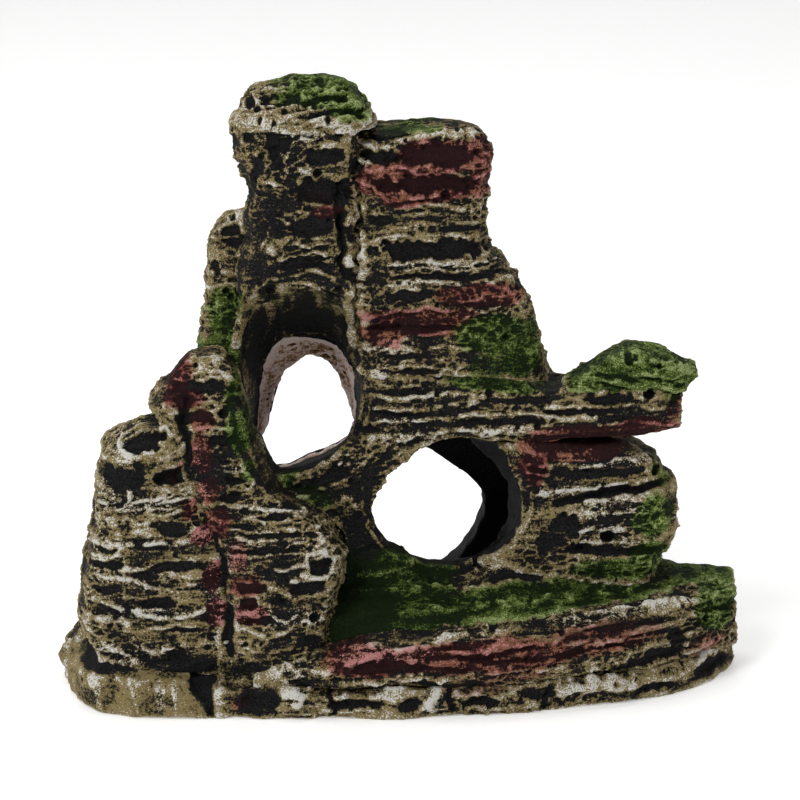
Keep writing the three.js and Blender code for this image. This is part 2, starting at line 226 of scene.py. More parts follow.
def cast_stone(
    node,
    paint,
    seed,
    voxel=0.36,
    pitch=2.6,
    lean=0.0,
    sag=0.6,
    beds=0.8,
    front_beds=0.5,
    lumps=0.5,
    grit=0.2,
    foam=0.3,
    brush=0.0,
    ledges=(),
    hollows=(),
    pits=(),
    clefts=(),
    red=(),
    moss=(),
    pale=(),
    # spots of painted shade: paint darkened where shade falls in hollows and under overhangs
    painted_shade=(),
    bare=0.0,
    rear=False,
):
    """Casts a stone from its plain solid, in millimetres: beds, swells, foam and grit all over, then the
    listed features on its front (or its rear), and the masks that its paint follows.

    Ledges are (height, width, points), clefts (width, depth, points), hollows (x, z, half width,
    half height, depth) and pits (x, z, radius). Red, moss, pale and the painted shade spots are rows
    for spots(); the shade spots darken the paint where shade falls in hollows and under overhangs."""
    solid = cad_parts[node]
    rough_casting = bpy.data.objects.new(node + "_rough", solid.data.copy())
    bpy.context.scene.collection.objects.link(rough_casting)
    remesh = rough_casting.modifiers.new("remesh", "REMESH")
    remesh.mode = "VOXEL"
    remesh.voxel_size = voxel / 1000
    rub = rough_casting.modifiers.new("rub", "SMOOTH")
    rub.factor = 0.5
    rub.iterations = round(6 * (0.36 / voxel) ** 2)
    graph = bpy.context.evaluated_depsgraph_get()
    mesh = bpy.data.meshes.new_from_object(rough_casting.evaluated_get(graph))
    bpy.data.objects.remove(rough_casting)
    mesh.name = node + "_casting"
    mesh.materials.clear()
    mesh.materials.append(paint)

    count = len(mesh.vertices)
    edges = np.empty(len(mesh.edges) * 2, np.int32)
    mesh.edges.foreach_get("vertices", edges)
    edges = edges.reshape(-1, 2)
    points = vectors(mesh.vertices, "co", count) * 1000
    normals = vectors(mesh.vertex_normals, "vector", count)
    normals = averaged(normals, edges, count, 4)
    normals /= np.maximum(np.linalg.norm(normals, axis=1), 1e-6)[:, None]

    # A face is a front face when it points forwards or a little up. wx and wz are x and z with a
    #  wobble, so that the listed features get ragged edges.
    x, y, z = points.T
    facing = normals[:, 1] if rear else 0.259 * normals[:, 2] - 0.966 * normals[:, 1]
    front = ramp(facing, 0.1, 0.5)
    level = 1 - 0.75 * ramp(np.abs(normals[:, 2]), 0.6, 0.97)
    wx = x + 0.8 * swells(points, 2.6, seed + 20) + 0.35 * swells(points, 1.1, seed + 21)
    wz = z + 0.45 * swells(points, 3.1, seed + 22) + 0.22 * swells(points, 1.0, seed + 23)

    # The walls of the two caves keep smoother and take no drybrush. Each cave: its mouth's middle
    # (x, z), half width, half height, and how far it moves in x and z on its way to the back.
    upper_cave = (-19, 60, 12.6, 19.6, 0, -12)
    lower_cave = (9, 37, 14.8, 12.8, -9, -11)
    back = np.clip((y + 4) / 20, 0, 1)
    wall = np.zeros(count)
    lip = np.zeros(count)
    rim = np.zeros(count)
    for cx, cz, rx, rz, shift_x, shift_z in (upper_cave, lower_cave):
        to_x = cx + shift_x * back - x
        to_z = cz + shift_z * back - z
        reach = np.hypot(to_x / rx, to_z / rz)
        inward = (normals[:, 0] * to_x + normals[:, 2] * to_z) / np.maximum(np.hypot(to_x, to_z), 1e-6)
        mouth = front * (1 - ramp(y, 2, 6))
        lip = np.maximum(lip, ramp(-np.abs(reach - 1.07), -0.13, -0.05) * mouth)
        rim = np.maximum(rim, np.exp(-(((reach - 1.1) / 0.035) ** 2)) * mouth)
        wall = np.maximum(wall, ramp(inward, 0.15, 0.7) * ramp(-reach, -1.3, -1.1) * ramp(y, -9, -4))

    wall *= 1 - bare

    # The inside of the chamber behind the caves is left black: bare undercoat, and painted shade for the
    # dark that falls inside it.
    chamber_middle = (11, 11, 26)
    chamber_half_size = (30, 9, 20.5)
    beyond = np.abs(points + 1.4 * normals - chamber_middle) / chamber_half_size
    hidden = ramp(-beyond.max(axis=1), -1.04, -0.96)

    # Glue fillets: the stone swells where another stone is near, so only a thin joint shows.
    swell = 0.12
    glue_reach = 1.3
    out = swell + 0.55 * np.exp(-((nearest_stone(node, points) / glue_reach) ** 2))
    calm = 1 - 0.8 * np.maximum(wall, hidden)
    out += lumps * calm * rough(points, 10, 7, 3)
    out += beds * level * (1 - front) * calm * layered(points, 90, 2.7, 0.04, 0.8)
    share = beds * front_beds * front * calm**2 * (1 - 0.75 * lip)
    out += share * layered(points, seed, pitch, lean, sag)
    thin_share = share + 0.8 * level * (1 - front) * calm
    out += 0.4 * thin_share * layered(points, seed + 50, pitch * 0.45, lean, sag)
    patchy = ramp(swells(points, 7, seed + 80) + 0.5 * swells(points, 2.6, seed + 81), -0.25, 0.35)
    lace = honeycomb(points, (2.6, 2.2, 1.25), seed + 90) * patchy * (1 - wall)
    smooth_floor = np.zeros(count)
    dark = np.zeros(count)
    ragged = 0.72 + 0.75 * swells(points, 2.1, seed + 24) + 0.5 * swells(points, 0.8, seed + 25)
    crest = rim * np.clip(ragged, 0, 1)
    out += 0.35 * crest
    for height, width, *line in ledges:
        ridge = np.exp(-((distance_to_line(wx, wz, line) / (0.75 * width)) ** 2)) * front
        strength = np.clip(ragged, 0.0, 1.5)
        out += height * ridge * strength
        crest = np.maximum(crest, ridge**1.6 * strength * min(1, height))
    for cx, cz, rx, rz, depth in hollows:
        oval = (np.abs((wx - cx) / rx) ** 2.3 + np.abs((wz - cz) / rz) ** 2.3) ** (1 / 2.3)
        edge = 0.3 * swells(points, 1.9, seed + 26) + 0.2 * swells(points, 0.8, seed + 27)
        inside = ramp(edge - oval, -1.15, -0.75) * front
        out -= 0.8 * depth * inside
        smooth_floor = np.maximum(smooth_floor, inside)
    for width, depth, *line in clefts:
        groove = np.exp(-((distance_to_line(wx, wz, line) / width) ** 2)) * front
        out -= depth * groove
        dark = np.maximum(dark, ramp(groove, 0.2, 0.7))
    for cx, cz, radius in pits:
        inside = ramp(-np.hypot(x - cx, z - cz) / radius, -1.15, -0.75) * front
        out -= 1.3 * radius * inside
        dark = np.maximum(dark, inside)
    lace *= 1 - 0.8 * smooth_floor
    out += foam * (lace - 0.35 * patchy * (1 - smooth_floor) * (1 - wall))
    bubble = bubbles(points, 3.1, seed + 70) * (1 - wall) * (1 - lip)
    out -= 0.55 * bubble
    dark = np.maximum(dark, 0.9 * bubble)
    gritty = (1 - 0.75 * smooth_floor) * (1 - 0.5 * wall) * (1 - 0.5 * lip)
    out += grit * gritty * rough(points, 1.5, seed + 40, 2)
    points = points + normals * out[:, None]
    points[:, 2] = np.maximum(points[:, 2], 0.0)

    fine_size, broad_size = 0.75, 2.0
    near = averaged(points, edges, count, max(2, round((fine_size / voxel) ** 2 * 2)))
    far = averaged(near, edges, count, round((broad_size / voxel) ** 2 * 2))
    fine = ((points - near) * normals).sum(1)
    broad = ((near - far) * normals).sum(1)

    # How readily each point takes the drybrush: crests and foam walls more, smooth hollows less.
    relief = 0.42 + 0.72 * fine + 0.4 * broad + 0.28 * crest - 0.26 * smooth_floor + brush
    relief += foam * (0.7 * lace - 0.25 * patchy) - 0.16 * lip
    runs = 0.47 + 0.34 * swells(points, (1.0, 5, 9), seed + 60) + 0.16 * swells(points, 1.2, seed + 61)
    runs *= ramp(z, 42, 52) * (0.5 + 0.5 * ramp(-y, -8, 4))
    relief = np.clip(relief, 0, 1) * (1 - 0.92 * wall) + 1.1 * wall * np.clip(runs, 0, 1)
    # dark gathers the clefts, pits and bubbles, the chamber's black inside and the painted shade spots,
    # and takes the drybrush away there.
    dark = np.clip(np.maximum(np.maximum(dark, hidden), spots(wx, wz, painted_shade) * front), 0, 1)
    masks = {
        "relief": relief * (1 - 0.85 * dark),
        "red": spots(wx, wz, red) * ramp(facing, -0.3, 0.3),
        "moss": spots(wx, wz, moss) * ramp(facing, -0.6, 0.1) * (1 - 0.6 * wall),
        "pale": spots(wx, wz, pale) * front,
        "bare": np.full(count, bare),
    }
    mesh.vertices.foreach_set("co", (points / 1000).astype(np.float32).ravel())
    for mask_name, mask in masks.items():
        layer = mesh.attributes.new(mask_name, "FLOAT", "POINT")
        layer.data.foreach_set("value", mask.astype(np.float32))
    mesh.polygons.foreach_set("use_smooth", [True] * len(mesh.polygons))
    mesh.update()

    stone = bpy.data.objects.new(node + "_stone", mesh)
    bpy.context.scene.collection.objects.link(stone)
    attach(stone, "root")
    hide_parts(node)


def wire(tree, source, output, target, slot_name):
    """Links an output of one node to an input of another."""
    tree.links.new(source.outputs[output], target.inputs[slot_name])


brushwork = bpy.data.node_groups.new("Drybrush and wash", "ShaderNodeTree")


def blended(share, low, high):
    """A colour mix. Each of the three is a colour or a (node, output) pair."""
    mix = brushwork.nodes.new("ShaderNodeMix")
    mix.data_type = "RGBA"
    for number, given in ((0, share), (6, low), (7, high)):
        if hasattr(given[0], "outputs"):
            brushwork.links.new(given[0].outputs[given[1]], mix.inputs[number])
        else:
            mix.inputs[number].default_value = given
    return (mix, 2)


def worked(operation, *terms):
    """A sum, product or the like of values and (node, output) pairs."""
    node = brushwork.nodes.new("ShaderNodeMath")
    node.operation = operation
    for number, given in enumerate(terms):
        if isinstance(given, tuple):
            brushwork.links.new(given[0].outputs[given[1]], node.inputs[number])
        else:
            node.inputs[number].default_value = given
    return (node, 0)


def centred(noise, amount):
    """Noise spread evenly about 0, amount wide."""
    return worked("MULTIPLY_ADD", noise, amount, -amount / 2)


def stepped(given, low, high):
    """0 below low and 1 above high."""
    node = brushwork.nodes.new("ShaderNodeMapRange")
    node.interpolation_type = "SMOOTHSTEP"
    brushwork.links.new(given[0].outputs[given[1]], node.inputs[0])
    for number, value in ((1, low), (2, high)):
        if isinstance(value, tuple):
            brushwork.links.new(value[0].outputs[value[1]], node.inputs[number])
        else:
            node.inputs[number].default_value = value
    return (node, 0)


def grain(scale, detail, roughness, stretch=None):
    """Solid noise on the stone's own coordinates."""
    place = brushwork.nodes.new("ShaderNodeTexCoord")
    noise = brushwork.nodes.new("ShaderNodeTexNoise")
    noise.inputs["Scale"].default_value = scale
    noise.inputs["Detail"].default_value = detail
    noise.inputs["Roughness"].default_value = roughness
    if stretch:
        squeeze = brushwork.nodes.new("ShaderNodeMapping")
        squeeze.inputs["Scale"].default_value = stretch
        wire(brushwork, place, "Object", squeeze, "Vector")
        wire(brushwork, squeeze, "Vector", noise, "Vector")
    else:
        wire(brushwork, place, "Object", noise, "Vector")
    return (noise, 0)


for name in ("Relief", "Red", "Moss", "Pale", "Bare", "Load", "Speckle"):
    brushwork.interface.new_socket(name, in_out="INPUT", socket_type="NodeSocketFloat")
for name, kind in (("Paint", "Color"), ("Roughness", "Float"), ("Height", "Float")):
    brushwork.interface.new_socket(name, in_out="OUTPUT", socket_type="NodeSocket" + kind)
given = brushwork.nodes.new("NodeGroupInput")
result = brushwork.nodes.new("NodeGroupOutput")
stipple = grain(1900, 3, 0.7)
flecks = grain(3400, 2, 0.7)
streaks = grain(900, 3, 0.7, (0.3, 0.3, 2.0))
patches = grain(160, 3, 0.65)
ragged = centred(stipple, 1.7)
ragged = worked("ADD", ragged, centred(flecks, 1.1))
ragged = worked("ADD", ragged, centred(streaks, 0.9))
uneven = centred(patches, 0.9)
level = worked("ADD", worked("ADD", (given, "Relief"), (given, "Load")), uneven)
level = worked("ADD", level, worked("MULTIPLY", ragged, (given, "Speckle")))
level = worked("MULTIPLY_ADD", (given, "Red"), -0.07, level)
bright = worked("MULTIPLY_ADD", (given, "Pale"), 0.24, level)
bright = worked("MULTIPLY_ADD", (given, "Red"), 0.07, bright)
bright = worked("ADD", bright, centred(flecks, 1.2))

wash = worked("ADD", worked("MULTIPLY", ragged, 0.5), uneven)
red_wash = stepped(worked("ADD", (given, "Red"), wash), 0.3, 0.75)
moss_wash = stepped(worked("ADD", (given, "Moss"), wash), 0.25, 0.75)

charcoal = blended(
    stepped(flecks, 0.3, 0.7), (0.001, 0.001, 0.001, 1), (0.021, 0.021, 0.022, 1)
)
wine = blended(stipple, (0.004, 0.002, 0.002, 1), (0.044, 0.015, 0.016, 1))
undercoat = blended(red_wash, charcoal, wine)
khaki = blended(patches, (0.15, 0.11, 0.042, 1), (0.35, 0.275, 0.125, 1))
brick = blended(
    stepped(patches, 0.35, 0.65), (0.12, 0.026, 0.024, 1), (0.25, 0.105, 0.058, 1)
)
mid_coat = blended(red_wash, khaki, brick)
cream = blended(flecks, (0.40, 0.37, 0.27, 1), (0.95, 0.95, 0.93, 1))
pink = blended(flecks, (0.30, 0.085, 0.085, 1), (0.70, 0.36, 0.34, 1))
top_coat = blended(red_wash, cream, pink)
paint = blended(stepped(level, 0.4, 0.62), undercoat, mid_coat)
paint = blended(stepped(bright, 0.88, 1.0), paint, top_coat)

deep_moss = blended(stipple, (0.002, 0.004, 0.001, 1), (0.012, 0.028, 0.005, 1))
mid_moss = blended(patches, (0.022, 0.055, 0.008, 1), (0.09, 0.145, 0.020, 1))
light_moss = blended(flecks, (0.16, 0.24, 0.05, 1), (0.40, 0.46, 0.18, 1))
moss_coat = blended(stepped(level, 0.36, 0.62), deep_moss, mid_moss)
moss_coat = blended(stepped(bright, 0.72, 0.96), moss_coat, light_moss)
paint = blended(worked("MULTIPLY", moss_wash, 0.93), paint, moss_coat)

rust = blended(streaks, (0.20, 0.085, 0.022, 1), (0.52, 0.28, 0.12, 1))
raw_resin = blended(flecks, (0.74, 0.52, 0.43, 1), (1.0, 0.90, 0.86, 1))
raw_coat = blended(stepped(level, 0.42, 0.6), rust, raw_resin)
raw_coat = blended(stepped(level, 0.2, 0.32), (0.03, 0.014, 0.008, 1), raw_coat)
paint = blended((given, "Bare"), paint, raw_coat)
wire(brushwork, *paint, result, "Paint")
wire(brushwork, *worked("MULTIPLY_ADD", flecks, 0.4, 0.5), result, "Roughness")
height = worked("MULTIPLY_ADD", flecks, 0.5, stipple)
wire(brushwork, *height, result, "Height")


def painted(name, load, speckle=0.62):
    """A paint scheme: a matte finish whose coats follow the stone's masks."""
    material = bpy.data.materials.new(name)
    material.use_nodes = True
    tree = material.node_tree
    shader = tree.nodes["Principled BSDF"]
    shader.inputs["Specular IOR Level"].default_value = 0.08
    coats = tree.nodes.new("ShaderNodeGroup")
    coats.node_tree = brushwork
    coats.inputs["Load"].default_value = load
    coats.inputs["Speckle"].default_value = speckle
    for mask_name in ("Relief", "Red", "Moss", "Pale", "Bare"):
        mask = tree.nodes.new("ShaderNodeAttribute")
        mask.attribute_name = mask_name.lower()
        wire(tree, mask, "Fac", coats, mask_name)
    wire(tree, coats, "Paint", shader, "Base Color")
    wire(tree, coats, "Roughness", shader, "Roughness")
    bump = tree.nodes.new("ShaderNodeBump")
    bump.inputs["Strength"].default_value = 0.9
    bump.inputs["Distance"].default_value = 0.0004
    wire(tree, coats, "Height", bump, "Height")
    wire(tree, bump, "Normal", shader, "Normal")
    return material


tan_paint = painted("tan_paint", 0.04)

cast_stone(
    "base_plate", tan_paint,
    seed=1, voxel=0.42, pitch=2.1, front_beds=0.9, lumps=0.8, brush=-0.03,
    ledges=[
        (0.8, 0.7, (-22, 4.4), (-15, 3.6), (-10, 4.2)),
        (0.7, 0.6, (-6, 4.2), (0, 4.8), (3, 4.2)),
        (0.8, 0.7, (10, 4.6), (17, 3.8), (22, 4.4)),
        (0.6, 0.6, (-14, 1.6), (-6, 2.0), (0, 1.4)),
        (0.6, 0.6, (12, 1.8), (22, 1.4), (28, 2.2)),
        (1.0, 1.4, (4.5, 1.6), (6.5, 4.8)),
        (1.0, 1.5, (30, 3.2), (36, 4.2), (44, 3.2)),
        (0.8, 1.0, (-20, 2.6), (-17, 4.6)),
        (0.7, 0.6, (50, 3.4), (56, 4.0), (60, 5.2)),
    ],
    hollows=[(60, 3.0, 3.6, 1.4, 1.1), (15, 2.6, 4, 1.0, 1.0), (26, 3.4, 3, 1.2, 1.0),
             (-9, 2.8, 4.4, 0.9, 1.0), (1, 2.8, 2, 1.2, 0.9), (49, 2.2, 3.4, 0.8, 0.8),
             (-26, 3.4, 3.4, 1.6, 1.2)],
    clefts=[(0.6, 1.0, (-13, 5), (-12, 2), (-13.4, 0)), (0.6, 1.0, (9, 4.6), (9.6, 1)),
            (0.5, 0.9, (28, 4.4), (27, 0.6))],
    pale=[(-19, 3.6, 2.6, 1.6, 1), (6, 3.4, 2.2, 2.6, 1), (-3, 4.6, 3, 0.8, 0.5)],
    red=[(-30, 3, 3, 2, 0.5), (14, 4.8, 8, 1.2, 0.5)],
    # painted shade in its two deepest hollows
    painted_shade=[(60, 2.6, 4, 1.6, 0.9), (-27, 3, 4, 2.6, 0.9)],
)

# ---------------------------------------------------------------- corner footing
# The low rounded stone under the left end, glued to the plate. It came out of its mould smooth
# and was brushed olive tan, with a few upright white runs and a crevice at its right.

olive_paint = painted("olive_paint", 0.02, 0.42)

cast_stone(
    "corner_footing", olive_paint,
    seed=2, beds=0.15, lumps=0.7, brush=0.12, grit=0.1, foam=0.0, voxel=0.3,
    clefts=[(1.1, 1.5, (-38.6, 7.4), (-36.4, 4.4), (-35.2, 0.6))],
    ledges=[(0.5, 1.1, (-60, 6.6), (-52, 6.8), (-45, 5.8)), (0.6, 0.6, (-36.8, 5.8), (-36, 2.4)),
            (0.3, 0.5, (-58.6, 6), (-57, 3.6), (-56.4, 1)), (0.3, 0.5, (-51, 6), (-49.4, 3.4), (-49, 1)),
            (0.35, 0.5, (-46, 6), (-44.6, 3.6), (-44, 1)), (0.3, 0.5, (-43.4, 6), (-42, 3.4), (-41.6, 1))],
    pale=[(-57.5, 4, 1.0, 3.6, 1), (-50, 4, 1, 3, 0.5), (-45.2, 4, 0.9, 4, 1), (-42.4, 4, 0.8, 3.4, 1)],
    moss=[(-50, 3.2, 9, 2.6, 0.28)],
    # painted shade along its top under the outer boulder and in its crevice
    painted_shade=[(-58, 9.6, 10, 1.9, 1.3), (-37, 6, 2.4, 3, 0.8)],
)

# ---------------------------------------------------------------- outer boulder
# The big banded boulder at the left, cast whole and bedded on the footing. White rimmed sockets
# and ridges that sag towards its right, drybrushed almost to white, with a wine wash in the crease.

cast_stone(
    "outer_boulder", tan_paint,
    seed=3, voxel=0.3, pitch=2.3, lean=-0.04, front_beds=0.8, brush=-0.01,
    ledges=[
        (1.3, 0.9, (-52.6, 52), (-53, 50.4), (-51.5, 48.6), (-49, 47.9), (-46.6, 48.6)),
        (0.8, 0.6, (-50.4, 52.9), (-48, 53.3), (-45.8, 53.0), (-44.2, 51.6), (-44.2, 49.6)),
        (0.6, 0.5, (-45, 54.2), (-42.6, 53.2), (-41, 51)),
        (0.5, 0.45, (-44.6, 49), (-42.4, 48.4), (-41.2, 49.4)),
        (0.6, 0.4, (-57, 47.2), (-54.4, 46.8), (-52, 46.9)),
        (0.5, 0.35, (-57, 45.4), (-54.8, 45.8)),
        (0.9, 0.5, (-51, 42.3), (-51, 40.6)),
        (0.8, 0.5, (-57.4, 39.8), (-54.6, 39.2), (-52, 39.0), (-48, 40.5), (-44, 41)),
        (0.7, 0.4, (-54, 38.3), (-49, 38.4), (-45, 40), (-41, 40.3)),
        (0.6, 0.4, (-47, 37.4), (-44, 37.6), (-41, 38.3)),
        (0.8, 1.1, (-54, 36.2), (-50.6, 36.5), (-47.4, 36)),
        (0.6, 0.9, (-53, 34.2), (-50, 34.5), (-47, 34)),
        (1.0, 0.8, (-58, 32), (-52, 32.1), (-46, 32.3), (-41.6, 32.8), (-38, 33.6)),
        (1.2, 0.8, (-59.6, 33), (-58.2, 32.4)),
        (0.7, 0.45, (-58, 30), (-55, 29.9), (-52, 30.2)),
        (0.7, 1.0, (-51.2, 27.4), (-48.8, 28)),
        (0.8, 0.6, (-56.4, 26), (-53, 25.8), (-50, 25.5), (-46, 24), (-42, 23.8), (-39, 24.8)),
        (0.5, 0.45, (-52, 22.5), (-48, 22.3)),
        (1.1, 0.75, (-57.6, 22), (-54, 21), (-51, 20), (-48, 19), (-44, 18.3), (-40, 18.8), (-36.4, 19.8)),
        (0.7, 1.1, (-56.6, 18.4), (-53.4, 18), (-50.4, 17.2)),
        (0.5, 0.35, (-47.4, 16.6), (-43, 16.6), (-39, 16.9)),
        (0.9, 0.8, (-58, 16), (-55, 13.5), (-52, 11), (-48, 9), (-45, 8)),
        (0.6, 0.5, (-44, 13.9), (-40, 13.4), (-36.6, 14)),
        (0.8, 0.5, (-49, 12.8), (-46, 11.8), (-43, 12.6), (-40.4, 11.4)),
        (0.7, 0.5, (-45, 8.4), (-42.6, 10.2), (-39.6, 9.2), (-37, 10)),
    ],
    hollows=[(-48.4, 50.8, 3.6, 2.1, 1.5), (-42.4, 44.6, 3.6, 1.4, 2.6), (-51.4, 44.6, 5.4, 2.2, 0.7),
             (-43, 35.3, 3.2, 1.3, 0.8), (-55, 28.4, 3.4, 0.8, 0.9), (-42, 27.9, 4.4, 1.0, 0.9),
             (-45, 21.3, 4, 1.0, 0.8), (-40.6, 16.3, 3.6, 0.5, 0.6), (-42, 11.2, 2.2, 1.3, 0.9),
             (-55, 23.8, 2.4, 0.7, 0.6), (-54.6, 31, 2.2, 0.5, 0.4)],
    pale=[(-51.4, 49, 3, 2, 1), (-48, 19.4, 9, 1.4, 1), (-47, 32.2, 11, 1.0, 0.8),
          (-47.6, 53, 3, 0.8, 0.8), (-51.6, 11.6, 6, 2.2, 0.7), (-49, 39.6, 8, 1.8, 1),
          (-54, 42.6, 4, 3, 0.8), (-50, 26, 9, 2.4, 0.6), (-46, 12, 8, 2, 0.6), (-57, 32, 2, 6, 0.5),
          (-37, 33.6, 3, 2, 1), (-35.4, 25, 2, 4, 1), (-34.6, 19.6, 2, 3, 1)],
    red=[(-39.4, 38.6, 1.6, 2.2, 0.85), (-37.2, 33.6, 2.6, 1.8, 0.9), (-35.2, 25.6, 1.9, 3.4, 1.0),
         (-34.4, 19.4, 2.0, 3.0, 1.0), (-41.6, 45, 1.0, 2, 0.7)],
    # painted shade in its deepest socket and along its foot
    painted_shade=[(-42.4, 44.6, 3.2, 1.2, 1), (-59.4, 10, 3, 5, 0.55), (-54, 7.6, 4.6, 2, 0.8),
          (-42, 9.4, 8.6, 2.2, 0.8), (-44, 4.6, 10, 2.6, 1.1)],
    moss=[(-40.4, 57, 2.4, 2.4, 0.3)],
)

# ---------------------------------------------------------------- inner boulder
# The tall split boulder beside it, glued along the crease. Its upper half is washed wine at the
# left and moss at the right; the lower block is thin black slate between ragged cream edges.

slate_paint = painted("slate_paint", -0.05)

cast_stone(
    "inner_boulder", slate_paint,
    seed=4, voxel=0.3, pitch=2.1, front_beds=0.5, brush=0.03,
    ledges=[
        (0.8, 1.0, (-40.4, 66.2), (-37.6, 67.2), (-35, 66)),
        (0.6, 0.9, (-37, 63.6), (-34.4, 62.8), (-32, 61.6)),
        (0.5, 0.4, (-37, 62), (-33, 61.8)),
        (0.6, 0.5, (-44.6, 57.4), (-41, 57.8), (-36, 58.2), (-33, 58)),
        (0.5, 0.35, (-45, 56), (-43.6, 57.4), (-42, 56.2), (-43.4, 55.4)),
        (0.7, 0.5, (-40, 53.0), (-36, 53.2), (-33.4, 52.7), (-31, 52.9)),
        (0.5, 0.35, (-39.6, 49.6), (-36.8, 49.4), (-34, 48.6), (-31.6, 47.6)),
        (0.45, 0.35, (-39, 47.3), (-35, 47), (-31, 46.6)),
        (0.6, 0.4, (-36, 46.2), (-32.6, 45.9), (-29, 45.2), (-27.6, 43.2), (-28.6, 41.6)),
        (0.6, 0.4, (-32.6, 42.4), (-30.6, 42.2), (-29, 41.6)),
        (0.9, 0.7, (-37, 39.6), (-32, 39.5), (-29, 38.5), (-26, 38), (-23, 37.5), (-16, 36.8),
         (-14.4, 35.5)),
        (0.5, 0.4, (-35, 37), (-31.4, 36.2), (-28, 36.8), (-25, 35.6)),
        (0.4, 0.35, (-32, 34.5), (-26, 34.4), (-20, 34.6)),
        (0.4, 0.35, (-31, 32.8), (-25, 32.7), (-18, 33)),
        (0.4, 0.35, (-33, 31.7), (-27, 31.6), (-19, 31.9)),
        (0.45, 0.35, (-32, 30.3), (-24, 30.2), (-17, 30.4)),
        (0.4, 0.35, (-30, 29), (-25, 28.9), (-20, 29.2)),
        (0.8, 0.8, (-15.6, 36.4), (-15.4, 33), (-15.8, 31)),
        (0.9, 0.5, (-17.6, 28.6), (-16.8, 30.3), (-14.6, 30.6), (-12.9, 29), (-13.2, 27), (-15.2, 25.9)),
        (0.7, 0.5, (-20.6, 25.4), (-18.4, 26.4), (-15.4, 26)),
        (0.8, 0.6, (-25.6, 27.8), (-22, 27.5), (-18.4, 28.2)),
        (0.6, 1.2, (-24, 24.4), (-20.6, 22.6), (-17, 20.8)),
        (0.5, 0.4, (-30.4, 22.4), (-28.4, 23), (-26.4, 22.4), (-25.8, 20.4), (-27.6, 19)),
        (0.8, 0.6, (-30.6, 19.6), (-26, 19), (-21, 18), (-17, 19.3), (-15, 20.6)),
        (0.8, 0.6, (-31, 16.5), (-26, 15.5), (-22, 16), (-18, 17.5)),
        (0.6, 0.5, (-29.4, 12.6), (-25, 12), (-20, 12.8)),
        (0.7, 0.5, (-31, 9.4), (-27, 10.4), (-23, 9.2), (-18, 10.2)),
        (0.6, 0.5, (-26, 6.8), (-21, 7.4), (-17, 6.6)),
    ],
    hollows=[(-38.4, 60.6, 5.4, 1.1, 0.8), (-34, 50.8, 2.4, 0.8, 1.0), (-31.4, 43.7, 1.8, 0.8, 1.0),
             (-31.6, 40.9, 1.9, 0.8, 1.1), (-24, 36.5, 2.2, 0.5, 0.8), (-24.6, 33.7, 6.5, 0.5, 0.5),
             (-25, 31, 7, 0.5, 0.5), (-15.3, 28.1, 2.0, 1.6, 1.6), (-17, 24.3, 3.3, 1.2, 1.3),
             (-27.6, 24.2, 2.6, 1.2, 0.8), (-28, 20.8, 1.7, 1.1, 0.9), (-27, 17.7, 3, 0.6, 0.7),
             (-29, 35.2, 2.4, 0.6, 0.6), (-38, 55.4, 4, 1.1, 0.6), (-23, 21.6, 0.8, 0.6, 0.6)],
    pits=[(-16.2, 18.2, 0.9), (-22, 21.6, 0.5), (-33.2, 55.8, 0.9), (-38.4, 64.4, 0.5),
          (-21, 25.6, 0.4)],
    clefts=[(1.0, 1.6, (-40.6, 58), (-40.4, 50), (-40.2, 44)),
            (0.9, 1.4, (-37.6, 37), (-34.8, 32), (-33.4, 26), (-32.7, 20), (-32.4, 12))],
    red=[(-42, 63, 3.4, 3.8, 0.9), (-41, 58.6, 4.4, 2.4, 0.75), (-37, 54.6, 2.4, 2.4, 0.75),
         (-37.2, 48.4, 2.6, 4.2, 0.8), (-36, 42, 3, 3, 0.65), (-34, 36, 3.4, 3.4, 0.75),
         (-30.8, 30, 2.6, 3.4, 0.6), (-28.6, 24.4, 3.4, 2.6, 0.65), (-28, 19.4, 3.6, 2.6, 0.85)],
    moss=[(-29.8, 52.4, 3.4, 4.4, 0.85), (-31.6, 59.4, 1.8, 4, 0.8), (-28.4, 45.4, 1.6, 2.6, 0.7),
          (-31.6, 66, 2, 1.8, 0.6)],
    pale=[(-31.6, 46, 4.4, 1, 0.9), (-24, 38, 9, 1.2, 0.9), (-15.4, 28.2, 3, 3, 0.9),
          (-38, 67, 3, 1, 0.5), (-21, 18.4, 7, 2, 0.9), (-20, 26.4, 4, 1.6, 0.7), (-24, 32, 8, 3, 0.5),
          (-34, 50, 4, 3, 0.5), (-28.6, 19.4, 3.6, 2.6, 1), (-31, 30, 2.6, 3.4, 0.8),
          (-36.6, 45, 2.6, 6, 0.8)],
    # painted shade low down and beside the crease
    painted_shade=[(-28, 9, 5, 1.4, 0.7), (-34, 45, 3, 6, 0.3), (-17, 14, 3, 1.2, 0.7)],
)

# ---------------------------------------------------------------- far left rock
# A small dark rock tucked behind the outer boulder at the plate's left end.

cast_stone(
    "far_left_rock", slate_paint,
    seed=5, pitch=2.2, front_beds=1.0, brush=-0.06,
    ledges=[(0.7, 0.7, (-65, 9), (-62, 12.6), (-58, 14.8), (-52, 15))],
)

# ---------------------------------------------------------------- front ledge
# The long brick-coloured slab that lies along the front and tapers towards the left. It is cut by
# thin black laminae, with salmon along its upper arris and moss at its right end.

brick_paint = painted("brick_paint", 0.0)

